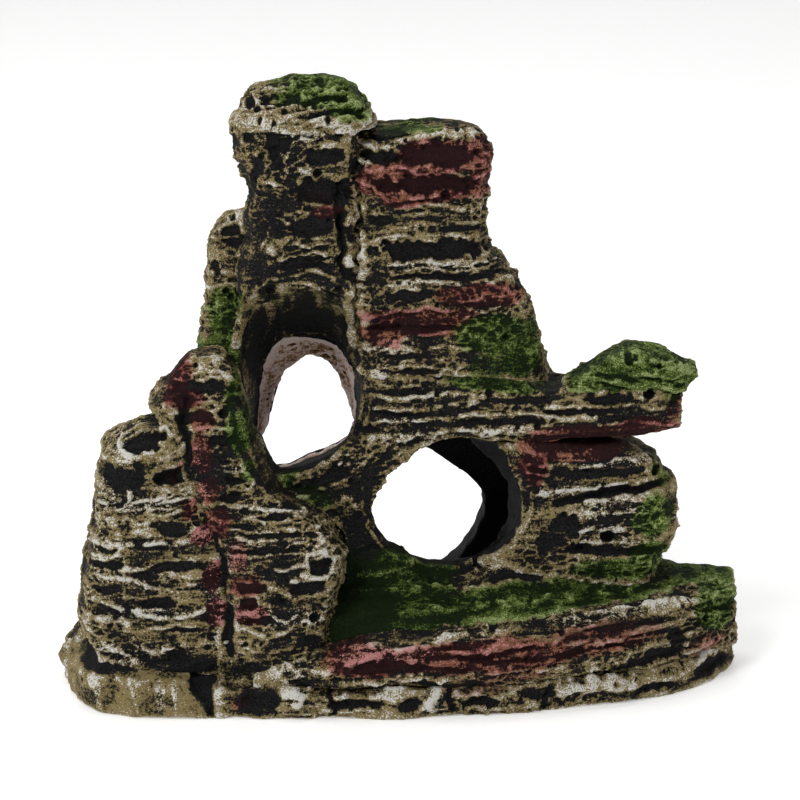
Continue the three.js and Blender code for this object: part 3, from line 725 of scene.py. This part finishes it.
cast_stone(
    "front_ledge", brick_paint,
    seed=6, voxel=0.33, pitch=1.35, lean=0.02, front_beds=1.1, brush=-0.03,
    ledges=[
        (0.9, 0.8, (-25.6, 13), (-24, 10.5), (-20, 8.8), (-17, 8), (-14, 9.5), (-10, 11)),
        (0.9, 0.8, (-14, 8.8), (-10, 11.2), (-5, 12.3), (0, 13), (9, 14.3)),
        (0.8, 0.8, (8, 14.6), (14, 16), (20, 16.6), (40, 16.8), (57, 16.4)),
        (0.6, 0.6, (12, 12.6), (24, 13.2), (36, 13), (46, 12.4)),
        (0.7, 0.9, (35, 12), (42, 12.4)),
        (0.6, 0.8, (54, 7.6), (62, 8.4)),
        (0.6, 0.5, (-8, 7.4), (2, 7.6), (16, 8.6), (30, 8.4)),
    ],
    hollows=[(53, 11, 1.4, 2, 0.9), (-2, 10, 7, 1.3, 1.0), (50, 8, 3.6, 1.2, 0.8),
             (20, 10.6, 8, 0.6, 0.5)],
    pits=[(17.5, 16.2, 1.0), (58.6, 13, 0.7), (30.4, 14.8, 0.6)],
    red=[(16, 11.4, 22, 3.4, 0.8), (38, 13, 14, 3.4, 0.6), (-6, 10.8, 9, 3.2, 0.85),
         (58.6, 8, 5, 2.6, 0.5), (18, 7.4, 12, 1.6, 0.5)],
    moss=[(61, 14.4, 5, 4.6, 0.85)],
    pale=[(-20, 9, 6, 2.4, 0.7), (-4, 12.4, 12, 1.6, 0.9), (12, 15.4, 8, 1.6, 0.5),
          (34, 16.6, 24, 1.0, 0.8), (38, 12.4, 5, 1, 0.5)],
    # painted shade along its underside
    painted_shade=[(54, 4.6, 12, 1.6, 0.6), (4, 6, 16, 1.2, 0.7), (44, 7, 6, 1, 0.8), (-16, 6.4, 5, 1, 0.7)],
)

# ---------------------------------------------------------------- mossy terrace
# The broad shelf above it that the caves open on to, washed moss green all over.

moss_paint = painted("moss_paint", 0.0)

cast_stone(
    "mossy_terrace", moss_paint,
    seed=7, pitch=2.0, beds=0.6, front_beds=0.7, lumps=0.8, foam=0.16, brush=-0.04,
    ledges=[
        (0.8, 0.5, (-5, 26.6), (0, 25.4), (6, 24.8), (12, 24.7), (18, 25.2), (24, 26.4), (33, 26.2)),
        (0.8, 0.5, (15, 22.8), (20, 23.2), (26, 23.2), (36, 23)),
        (0.6, 0.4, (20, 24.6), (28, 24.8), (34, 24.4)),
        (0.6, 0.6, (-10, 20), (4, 21), (14, 20.4), (30, 20.6)),
        (0.6, 0.8, (0, 17.4), (16, 18.4), (34, 18.4), (54, 19.4)),
    ],
    hollows=[(27, 24.0, 7, 0.6, 0.9), (30, 25.6, 4, 0.5, 0.7)],
    pits=[(15.2, 23.6, 1.1), (28.8, 24.6, 1.4), (40, 22, 0.6), (6, 21.6, 0.6)],
    moss=[(-2, 17, 16, 7, 0.95), (24, 17.4, 24, 3.4, 1), (46, 19, 17, 3.2, 1), (2, 22.6, 10, 3, 0.9),
          (58, 18, 8, 5, 1)],
    pale=[(26, 23, 11, 1.4, 1), (8, 24.2, 16, 0.8, 1), (30, 26, 8, 1, 0.8)],
    # painted shade at its left end and along one groove
    painted_shade=[(-9, 15, 10, 8, 0.75), (5, 15.2, 9, 3, 0.5), (24, 21.6, 7, 0.8, 1.2)],
)

# ---------------------------------------------------------------- right pier
# The stack of slate that carries the right end of the bridge, with a brick block beside the cave
# mouth, a long slot under its cap ridge and bright moss on its right shoulder.

cast_stone(
    "right_pier", slate_paint,
    seed=8, voxel=0.3, pitch=2.2, lean=0.05, front_beds=0.5, brush=0.04,
    ledges=[
        (0.8, 0.5, (34.6, 43), (38, 43.3), (41, 44.2), (44, 43.8), (47, 44), (49.4, 43)),
        (0.8, 0.5, (28.6, 38.2), (33, 38.7), (38, 39), (42, 39.4), (46.4, 40)),
        (0.9, 0.9, (25.8, 37.6), (27.4, 37.8), (29, 37)),
        (0.6, 1.0, (34, 36.2), (40, 36.8), (47.4, 37.4)),
        (0.6, 0.5, (32, 33.6), (36, 34.4), (41, 34), (46, 34.8)),
        (0.9, 0.7, (34.6, 30.4), (36, 31.2), (40, 30.8), (43.6, 30.7), (46, 30.2), (48.4, 29.5)),
        (0.6, 0.4, (29.6, 26.8), (34, 28), (40, 28.2), (45, 28.3), (49, 28.8)),
        (0.7, 1.6, (24, 46.4), (27.4, 45), (28.4, 43)),
        (0.7, 0.5, (24.4, 41.8), (28.4, 41.2)),
        (0.6, 0.4, (24, 43.6), (29, 43.4)),
        (0.6, 0.4, (24.2, 40), (28.6, 39.6)),
    ],
    hollows=[(38, 41.8, 8, 0.9, 0.8), (31.6, 31.6, 2.6, 2.2, 0.6), (29, 28.2, 3, 1.8, 0.6)],
    clefts=[(0.7, 1.6, (30, 35.8), (34, 36.6), (40, 38), (45, 38.4), (49.4, 39.2)),
            (0.9, 1.4, (33, 27), (38, 26.2), (49, 26.4))],
    pits=[(49, 41.6, 0.8), (39.7, 29.4, 1.3), (34.5, 27.2, 0.7), (31.4, 33.8, 0.6)],
    red=[(25.6, 42.6, 3.4, 4.6, 0.75), (34, 46, 11, 2.4, 0.9), (24.6, 48, 3, 3, 0.8)],
    moss=[(48.4, 33.4, 4.2, 4.4, 1), (50.6, 41.6, 2.6, 4, 0.5), (48, 26, 3.6, 3, 0.9),
          (44, 22.6, 12, 2.4, 0.8)],
    pale=[(40, 43.6, 9, 1, 1), (30, 38, 5, 1, 0.9), (38, 31, 6, 1.4, 1), (40, 34.6, 7, 3, 0.9),
          (38, 39, 10, 0.8, 0.8), (40, 28.2, 8, 0.8, 0.7)],
    # painted shade along its top, under the bridge slab
    painted_shade=[(37, 47.4, 13, 1.6, 0.9)],
)

# ---------------------------------------------------------------- bridge slab
# The long lintel over the lower cave. Its front edge is a pack of thin slates, drybrushed cream,
# with a brick wash along the underside at the right.

cast_stone(
    "bridge_slab", slate_paint,
    seed=9, voxel=0.3, pitch=1.9, lean=-0.01, front_beds=0.5,
    ledges=[
        (0.6, 0.4, (-4, 58.5), (0, 58.4), (4, 58.6)),
        (0.7, 0.5, (-5, 56.4), (0, 56), (5, 56.5), (8, 57.2), (12, 57.4)),
        (0.7, 1.1, (12.4, 56), (15.4, 57)),
        (0.7, 0.5, (-5, 54), (0, 54.5), (7, 54.8), (14, 55.5)),
        (0.6, 0.5, (8, 53), (17, 53.8), (27, 53.6), (33, 52.5)),
        (0.8, 0.5, (-5, 51.5), (0, 51.8), (5, 52.3), (9, 52.8)),
        (0.8, 0.5, (-1, 47.4), (4, 49.4), (11, 50.5), (17, 50.5), (22, 50.2), (28, 50.5)),
        (0.6, 0.5, (28, 55.1), (36, 54.9), (44, 55.1), (50, 55)),
        (0.6, 1.0, (27.4, 53), (32, 52.8), (37, 53)),
        (0.7, 0.5, (31, 57.2), (36, 57.6), (41, 57.6), (48, 57.6)),
        (0.7, 0.8, (42.8, 56.3), (45.8, 56.5)),
        (0.8, 0.5, (37.6, 51.8), (44, 52), (49, 51.6), (53, 51.7)),
        (0.5, 1.2, (-7, 46.6), (-2, 48.4), (6, 48.8)),
        (0.5, 0.45, (16, 57.9), (22, 58.2), (30, 58.4)),
    ],
    hollows=[(40, 56.3, 4.4, 0.7, 0.7), (36, 54.1, 8.4, 0.6, 0.7), (0, 57.2, 5, 0.5, 0.6),
             (1.6, 53.4, 6, 0.5, 0.6), (20, 52.2, 8, 0.7, 0.6), (-6, 50, 2.4, 0.7, 0.6),
             (22, 56.4, 8, 0.7, 0.4), (52.4, 57.6, 1.4, 2.2, 1.0)],
    pits=[(7, 57.1, 0.5), (16.8, 57.7, 0.7), (43.5, 57.7, 0.5), (47.3, 57.4, 1.1), (22.4, 51.4, 0.5),
          (-6.4, 45.4, 0.9), (26, 51.2, 0.6)],
    red=[(38, 49.6, 15, 2.4, 0.95), (47, 51, 7, 2.2, 0.9), (28, 46.6, 6, 3, 1), (52, 55, 2, 3, 0.6)],
    moss=[(28, 59.6, 20, 2.2, 1), (44, 60, 12, 2.2, 1), (51.4, 57, 2, 2.4, 0.6)],
    pale=[(2, 52, 8, 1, 0.9), (3, 48.6, 7, 1.4, 0.8), (6, 56.8, 7, 1, 0.6), (20, 50.4, 8, 0.8, 0.7)],
    # painted shade along its underside at the right
    painted_shade=[(38, 48.4, 14, 1.4, 0.8)],
)

# ---------------------------------------------------------------- bridge knob
# A folded lump of moss-covered stone glued on the bridge's right end.

cast_stone(
    "bridge_knob", moss_paint,
    seed=10, voxel=0.27, pitch=1.9, lean=-0.22, front_beds=1.0, beds=1.0,
    ledges=[(0.7, 0.6, (35, 60), (40, 63), (46, 64.4), (51, 62.4), (56.6, 60.6)),
            (0.6, 0.6, (40, 60), (46, 61), (53, 60))],
    pits=[(43.5, 63.6, 0.8), (49, 62.6, 0.5)],
    moss=[(45, 61, 16, 8, 1)],
    red=[(54, 58.4, 2, 1.4, 0.5)],
)

# ---------------------------------------------------------------- saddle rock
# The hollow-sided rock between the two caves. Streaks of khaki run down over it from the upper
# cave's sill, and a moss-green notch divides it from the inner boulder.

cast_stone(
    "saddle_rock", tan_paint,
    seed=11, voxel=0.33, pitch=2.6, lean=0.35, sag=1.2, front_beds=0.9, brush=-0.18,
    ledges=[
        (0.7, 0.6, (-20, 40), (-14, 42.2), (-9, 45.6)),
        (0.6, 0.6, (-24, 37), (-18, 37.6), (-12, 40.4), (-6, 44)),
        (0.5, 1.0, (-13, 38), (-9, 37), (-6.6, 33)),
    ],
    hollows=[(-11, 42, 2.6, 0.9, 0.8), (-20, 38.6, 3.6, 0.8, 0.9), (-14, 34, 2.4, 1.2, 0.7)],
    pits=[(-12.4, 43.6, 0.6), (-9.4, 40.6, 0.6), (-16.8, 40, 0.5)],
    moss=[(-24.6, 41.4, 6, 3.4, 1), (-17, 37, 6, 3, 0.6), (-10, 20, 8, 10, 0.6), (-1, 24, 7, 4.4, 0.8)],
    pale=[(-10, 44, 5, 1.6, 0.5), (-8, 38, 2, 4, 0.3)],
    # painted shade over its lower part
    painted_shade=[(-12, 22, 7, 8, 0.8)],
)

# ---------------------------------------------------------------- left shoulder
# The narrow rock that leans on the tower's left side, smooth in the middle and mossy at its foot.

cast_stone(
    "left_shoulder", tan_paint,
    seed=12, voxel=0.3, pitch=2.4, front_beds=0.6,
    ledges=[
        (0.8, 0.9, (-34.6, 88), (-32.6, 89.8), (-30, 89.4)),
        (0.6, 0.5, (-34, 83), (-31, 82.6), (-28, 83.6)),
        (0.6, 1.6, (-30, 82), (-29, 79)),
        (0.6, 0.5, (-36, 76), (-33, 76.8), (-31, 76)),
    ],
    hollows=[(-32, 87, 1.4, 1.0, 1.0), (-30.6, 84.8, 2.6, 1.1, 1.0), (-35, 80, 0.9, 1.6, 0.6)],
    clefts=[(0.5, 1.2, (-26.6, 84), (-26.8, 79)), (0.4, 0.9, (-31.5, 76), (-29.8, 71), (-30.3, 62))],
    pits=[(-32, 89, 0.7), (-33.3, 75.5, 0.6), (-32.3, 74.4, 0.6)],
    moss=[(-33, 68, 4.4, 9, 0.95), (-38, 58, 7, 9, 0.9), (-30, 76, 3, 2.6, 0.35), (-40, 46, 6, 8, 0.7)],
    pale=[(-33, 90, 2, 1.6, 0.7), (-35, 80, 1.4, 4, 0.3)],
    # painted shade down its edge beside the tower
    painted_shade=[(-28.6, 64, 2.6, 9, 0.75)],
)

# ---------------------------------------------------------------- tower, left column
# The tower's left half, pitted and hung with arched ridges over the cave's brow. A rib and a deep
# joint part it from the right half.

cast_stone(
    "tower_left_column", slate_paint,
    seed=13, voxel=0.27, pitch=2.3, front_beds=0.4, brush=-0.08,
    ledges=[
        (0.7, 0.5, (-22.4, 107), (-20.4, 106.8), (-18.6, 106.4), (-16, 106.2), (-14.4, 107)),
        (0.6, 0.4, (-21, 109.4), (-18.4, 109.4), (-15.6, 109)),
        (0.8, 1.3, (-20, 105.8), (-15, 105.2), (-10, 106)),
        (0.6, 0.5, (-20, 101.5), (-18.2, 103), (-16.5, 104.8)),
        (0.9, 0.7, (-21.4, 100.6), (-19.4, 99.8), (-17.8, 100.4), (-16, 100.3)),
        (0.6, 0.4, (-15, 99.6), (-12.4, 99.7), (-10, 99.1)),
        (0.7, 1.0, (-24.6, 98.4), (-22.4, 97), (-23.4, 95.6)),
        (0.6, 0.45, (-22, 92.4), (-19.4, 92.6), (-17, 92.3)),
        (0.6, 0.5, (-25, 91), (-22.8, 91.2), (-21, 90.6)),
        (0.5, 0.35, (-24.6, 90.4), (-24.8, 88), (-25.4, 85.4)),
        (0.7, 1.4, (-24, 86.4), (-23.4, 84)),
        (0.6, 0.5, (-19, 86.8), (-17, 86), (-14, 86.3), (-11, 85.8)),
        (0.7, 0.5, (-25, 82.4), (-22, 83.8), (-19, 84.7), (-16, 84.8), (-12.5, 83)),
        (0.6, 0.45, (-24, 79.5), (-20, 80), (-16, 80.8), (-12, 79.4)),
        (0.8, 0.6, (-24.4, 76.4), (-20, 77.5), (-17, 78.5), (-15, 77.6), (-13, 76.2)),
        (1.3, 1.3, (-8.6, 97), (-8.9, 92), (-9.2, 85), (-9, 80), (-8.8, 74), (-8.6, 66), (-8.6, 60)),
        (0.8, 0.6, (-30.6, 107.6), (-29.6, 105), (-28.6, 103)),
        (0.6, 0.5, (-27, 104), (-25.6, 101), (-26.4, 97)),
        (0.5, 0.4, (-22, 103.4), (-23.4, 101.4), (-22.4, 99)),
        (0.5, 0.5, (-26, 94.6), (-23.6, 93.6)),
    ],
    hollows=[(-19.2, 108.3, 1.2, 0.8, 1.1), (-16.9, 108, 1.5, 1.0, 1.3), (-22.8, 106.4, 2.4, 1.9, 0.9),
             (-14, 103, 4.6, 1.5, 1.0), (-14.6, 96.4, 5.2, 2.3, 2.0), (-17, 89.8, 4.8, 1.7, 0.9),
             (-23, 102.8, 1.0, 2.4, 0.7), (-18.4, 81.9, 4.4, 0.6, 0.7), (-18, 88.2, 4.4, 0.6, 0.5),
             (-15.4, 83.2, 2.4, 0.5, 0.6), (-26.8, 99, 1.2, 4, 0.5), (-28.6, 106.6, 1.2, 1.2, 0.6)],
    clefts=[(1.0, 1.3, (-10, 98), (-11.4, 93), (-10.6, 89)),
            (0.7, 1.6, (-10.4, 91), (-11.4, 86), (-10, 80))],
    pits=[(-11.5, 107.6, 0.7), (-9, 107.8, 0.6), (-15.5, 100, 0.8), (-24.7, 76.3, 0.9),
          (-12.7, 75.8, 0.7), (-11.7, 77.6, 0.6), (-27.3, 73.4, 0.6), (-26.4, 78.6, 0.5),
          (-13.4, 90.8, 0.4)],
    red=[(-13.2, 92.2, 3.4, 1.6, 1), (-16, 96, 5, 3, 0.35)],
    moss=[(-29.6, 74, 2.4, 3, 0.6), (-19, 72, 9, 5, 0.75)],
    pale=[(-18.4, 107.6, 4.6, 2.2, 0.9), (-19, 100.2, 3.4, 0.9, 0.8), (-17.4, 77.8, 5, 1, 0.7),
          (-27, 107.4, 3, 3, 0.4), (-21.4, 101.6, 1.6, 3, 0.4)],
    # painted shade in its two deep hollows, the shadow under the cave's brow, and shade at its left edge
    painted_shade=[(-14.6, 96.4, 4.8, 2.2, 1), (-14, 103, 4, 1.3, 0.5), (-18, 68.4, 6, 3, 0.6),
          (-28, 64, 2.6, 9, 0.75)],
)

# ---------------------------------------------------------------- tower, right column
# The tower's right half and the slope below it: long level ledges of slate with deep smooth beds
# between, brick and pink in the upper bay and again along the foot, and moss at the lower right.

cast_stone(
    "tower_right_column", brick_paint,
    seed=14, voxel=0.27, pitch=2.2, lean=0.03, front_beds=0.35, brush=-0.02,
    ledges=[
        (0.8, 0.6, (-8, 105), (-5, 104.2), (-1, 104.6), (3, 105.8), (8, 106.4), (14, 106.2)),
        (0.6, 0.5, (-8.4, 107.6), (-6, 108.4), (-2, 109), (3, 108.8)),
        (0.8, 0.9, (-8, 102.2), (-6.6, 101.2), (-5, 100.4)),
        (0.8, 0.6, (-6, 100.2), (-3, 100.7), (0, 100.6), (2, 100)),
        (0.7, 0.8, (-7, 98.2), (-6, 96.8)),
        (0.8, 0.5, (-6.2, 98.4), (-4, 96.5), (-2.6, 94.9), (-1.5, 94)),
        (0.8, 0.6, (-2.6, 93.9), (0, 94.4), (4, 95), (7.4, 95.8)),
        (0.6, 0.45, (10.6, 95.2), (12, 97.2), (14.5, 99), (16, 100)),
        (0.6, 1.0, (-4, 92.2), (0, 93), (6, 93.4), (12, 93)),
        (0.6, 0.5, (0, 91.3), (6, 91.7), (12, 91.4)),
        (0.6, 0.45, (-5, 88.5), (0, 88.8), (5, 90), (10, 90.5), (15, 90)),
        (0.6, 0.5, (-6, 86.2), (-2, 87.5), (2, 88), (6, 87.6), (13, 87.3), (15, 87.8)),
        (0.7, 0.4, (-4, 81.9), (0, 82.4), (3, 82.7), (8, 82.2), (12, 82.2), (20, 82.8)),
        (0.6, 0.4, (-6.4, 81), (-2, 80.7), (3, 81.4), (9, 81), (15, 81.2), (20.4, 81.8)),
        (0.5, 0.4, (11, 83.4), (15, 84.5)),
        (0.7, 0.6, (-4.4, 77.8), (0, 78.4), (4, 78.8), (10, 78.6), (17, 78.4), (23, 78.5)),
        (0.8, 0.5, (-6.4, 72), (-4, 72.3), (0, 73.3), (5, 73.6), (10, 73.3), (17, 73)),
        (0.4, 0.35, (10, 74.7), (16, 75.4), (22, 76.3)),
        (0.4, 0.35, (12, 71.8), (18, 73.4), (23, 75)),
        (0.7, 0.5, (-6.4, 66.6), (-4, 67), (0, 67.3), (5, 68.2), (10, 69), (14, 69.4)),
        (0.5, 0.4, (12, 70), (16, 71.2), (20, 72.5)),
        (0.6, 1.2, (-6, 65.6), (-2, 66), (2, 65.6)),
        (0.6, 0.45, (2, 65.3), (8, 65.9), (14, 65.8)),
        (0.5, 0.5, (-2, 62.2), (2, 62), (6, 62.2)),
        (0.5, 1.1, (-5, 61.4), (-2.6, 60.4)),
        (1.3, 1.2, (-7.6, 95), (-7.2, 90), (-7, 84), (-6.8, 78), (-6.6, 72), (-6.6, 66), (-7, 59)),
    ],
    hollows=[(-3, 106.9, 4.4, 1.3, 1.3), (-3.4, 102.7, 3.8, 1.3, 1.3), (7, 103, 8, 2.1, 1.3),
             (5, 97.5, 8.4, 1.9, 1.8), (5, 84.9, 10.4, 1.8, 1.6), (8, 79.8, 11, 0.6, 0.7),
             (2.6, 75.9, 5, 1.0, 0.9), (-2.6, 69.7, 3.6, 0.7, 1.6), (5, 69.6, 5, 0.6, 0.7),
             (3, 64.2, 5, 0.6, 0.6), (3, 60.7, 4.6, 0.6, 0.6), (11, 89, 4.6, 0.6, 0.6),
             (-3.4, 90.6, 2.4, 0.8, 0.8)],
    pits=[(10.6, 107.2, 0.6), (8.5, 95.4, 0.9), (22.4, 77, 0.8), (7, 74.3, 0.4), (8.8, 74.3, 0.4),
          (1, 105.4, 0.4), (14, 91, 0.4), (20, 68, 0.5)],
    red=[(7.6, 102.6, 9.6, 3.2, 1), (-1.4, 99.6, 6, 2.2, 1), (15, 103, 2.8, 3.6, 0.8),
         (4, 97, 11, 3.6, 0.95), (-6.4, 97.6, 1.8, 2.4, 0.9), (1, 94, 5, 1.4, 0.9),
         (14.6, 98, 2.4, 3, 0.8), (15, 76, 9, 2.6, 0.95), (5, 71.8, 13, 2.2, 1), (-3, 68.6, 5, 2.4, 1),
         (8, 68.9, 9, 1.4, 0.9), (-2.4, 66.6, 3.4, 1, 0.6)],
    moss=[(3, 108.4, 11, 1.8, 0.9), (18, 68.4, 8.4, 4.4, 0.9), (17, 62.4, 5, 3, 0.6),
          (23.4, 63.8, 4, 4, 0.9)],
    pale=[(-2, 66, 4, 1.6, 0.9), (6, 82, 13, 0.9, 0.7), (4, 78.6, 9, 0.8, 0.6),
          (-3.6, 61, 2.4, 1.8, 0.7), (1, 104.6, 8, 0.8, 0.4), (-6.4, 102, 2, 1.6, 0.6)],
    # painted shade in a deep hollow and at its lower right
    painted_shade=[(-2.6, 69.6, 3.4, 0.8, 0.9), (22.4, 63, 2.4, 3, 0.5)],
)

# ---------------------------------------------------------------- tower cap
# The mossy capstone, glued on the left column: tan at its left third, deep green at the right.

cast_stone(
    "tower_cap", moss_paint,
    seed=15, voxel=0.25, pitch=1.7, lean=0.2, beds=1.0, front_beds=1.0, brush=0.03,
    ledges=[
        (0.9, 0.7, (-29, 113.4), (-26, 114), (-23.4, 113.8), (-19.5, 114.8)),
        (0.9, 0.6, (-20, 113), (-16, 114.2), (-12, 114.4), (-9, 112.6)),
        (0.7, 0.5, (-18, 111.6), (-13, 112.6), (-8, 111.6)),
        (0.6, 0.45, (-28, 109.8), (-24, 110.5), (-20.6, 109.8), (-17, 109.8), (-12.6, 108.9)),
        (0.7, 0.6, (-7.4, 112), (-6.6, 109.6)),
    ],
    clefts=[(0.6, 1.3, (-26, 112.5), (-22, 112.5), (-19, 113.2)),
            (0.6, 1.3, (-18.6, 112.3), (-15.4, 113.1), (-11, 113.2)),
            (0.5, 1.0, (-16, 110.6), (-12, 111.2), (-8, 110.4))],
    pits=[(-28, 112.2, 1.0), (-26.5, 111.2, 0.7), (-21.5, 110.9, 0.5), (-23.4, 109.2, 0.5),
          (-16, 111.8, 0.5), (-13.4, 109.8, 0.5)],
    moss=[(-14, 115.4, 8, 4, 0.95), (-9.6, 112, 4.4, 3, 0.9), (-18, 113.4, 7, 1.6, 0.7),
          (-21, 115.8, 8, 1.8, 0.6)],
)

# ---------------------------------------------------------------- rear window rim
# The ring at the back of the upper cave, left as it broke out of the mould: bare pinkish resin with
# rusty specks.

raw_paint = painted("raw_paint", 0.0)

cast_stone(
    "rear_window_rim", raw_paint,
    seed=16, beds=0.2, lumps=0.7, grit=0.25,
    foam=0.45, brush=0.08, bare=1.0,
)

# ---------------------------------------------------------------- rear tower rock
# The rock that backs the tower, glued behind both columns.

cast_stone(
    "rear_tower_rock", raw_paint,
    seed=17, voxel=0.33, pitch=2.6, lumps=1.0, beds=1.1, front_beds=0.9, rear=True, brush=-0.02,
    ledges=[
        (1.0, 0.8, (-26, 97), (-18, 98.4), (-8, 97), (2, 98), (12, 96.6)),
        (0.9, 0.7, (-20, 89), (-10, 88), (0, 89.4), (8, 88.6)),
        (1.0, 0.9, (-30, 80), (-20, 81.6), (-12, 80.4)),
        (1.0, 0.8, (-4, 79), (6, 77.6), (16, 78.6)),
        (0.8, 0.7, (-31, 73.6), (-22, 74.6), (-12, 73.4), (0, 74.8)),
    ],
    hollows=[(-4, 93.4, 8, 2, 1.4), (-20, 85, 6, 1.6, 1.3), (8, 83.4, 5, 1.8, 1.2),
             (-12, 77, 7, 1.2, 1.0)],
    clefts=[(0.8, 1.6, (-1, 102), (-3, 94), (-1.6, 86), (-4, 78))],
    pits=[(-14, 95, 1.0), (6, 91, 0.8), (-24, 77, 0.9), (2, 81.6, 0.7)],
    moss=[(-4, 102, 20, 3.4, 0.85), (12, 84, 6, 7, 0.8), (-28, 76, 6, 5, 0.6)],
    red=[(-14, 91, 8, 3, 0.8), (2, 76, 9, 2.6, 0.7)],
    pale=[(-18, 98, 7, 1.2, 0.6), (-22, 81, 7, 1.2, 0.6)],
)

# ---------------------------------------------------------------- rear shell
# The bowed shell that closes the back, with the openings that fish swim through. It is brushed like
# the front, but with fewer washes.

cast_stone(
    "rear_shell", raw_paint,
    seed=18, voxel=0.46, pitch=2.9, lumps=1.5, beds=1.2, front_beds=0.9, rear=True, brush=-0.02,
    ledges=[
        (1.3, 1.0, (-44, 63), (-34, 65.4), (-24, 64), (-14, 66), (-4, 64.4)),
        (1.1, 0.9, (0, 60), (12, 61.6), (24, 60), (34, 58)),
        (1.2, 1.0, (-50, 50), (-42, 51.6), (-32, 50)),
        (1.1, 0.9, (4, 52), (16, 50.6), (28, 52), (40, 49)),
        (1.2, 1.0, (20, 38), (30, 39.6), (42, 38), (50, 35)),
        (1.0, 0.9, (-52, 37), (-44, 38.6), (-34, 37), (-24, 38)),
        (1.2, 1.0, (22, 26), (34, 24.6), (46, 26)),
        (1.1, 1.0, (-54, 24), (-42, 22.6), (-30, 24), (-22, 22.6)),
        (1.0, 0.9, (-50, 13), (-36, 14.6), (-24, 12.6)),
        (1.0, 0.9, (20, 13), (34, 14.4), (50, 12)),
    ],
    hollows=[(-38, 57.6, 7, 2.6, 2.0), (20, 56, 9, 1.8, 1.6), (-40, 44, 8, 2.4, 1.8),
             (32, 44.6, 9, 2.4, 1.8), (36, 32, 9, 2.2, 1.8), (-38, 30.6, 9, 2.4, 1.8),
             (-32, 18.4, 8, 1.6, 1.4), (34, 19.4, 9, 1.8, 1.6), (2, 66, 6, 1.2, 1.0),
             (-36, 8.6, 9, 1.2, 1.0)],
    clefts=[(1.2, 2.2, (-8, 69), (-4, 60), (-1, 52), (3, 45)),
            (1.0, 1.8, (20, 47), (26, 38), (23, 28), (27, 16), (24, 8)),
            (1.0, 1.8, (-28, 34), (-31, 24), (-28, 14), (-31, 7))],
    pits=[(-46, 55, 1.3), (12, 64, 1.0), (44, 41, 1.3), (-48, 33, 1.0), (40, 28.6, 1.0), (-44, 18, 1.2)],
    moss=[(-40, 62, 12, 5, 0.8), (40, 46, 12, 5, 0.85), (-10, 68, 14, 3, 0.6), (-48, 14, 9, 9, 0.8),
          (46, 12, 9, 8, 0.8), (8, 8, 26, 4, 0.6)],
    red=[(30, 36, 10, 3.4, 0.8), (-40, 41, 10, 3, 0.75), (14, 58, 12, 2.6, 0.7)],
    pale=[(-34, 64.6, 9, 1.4, 0.7), (24, 51.4, 11, 1.2, 0.6), (-36, 23, 12, 1.4, 0.6)],
)
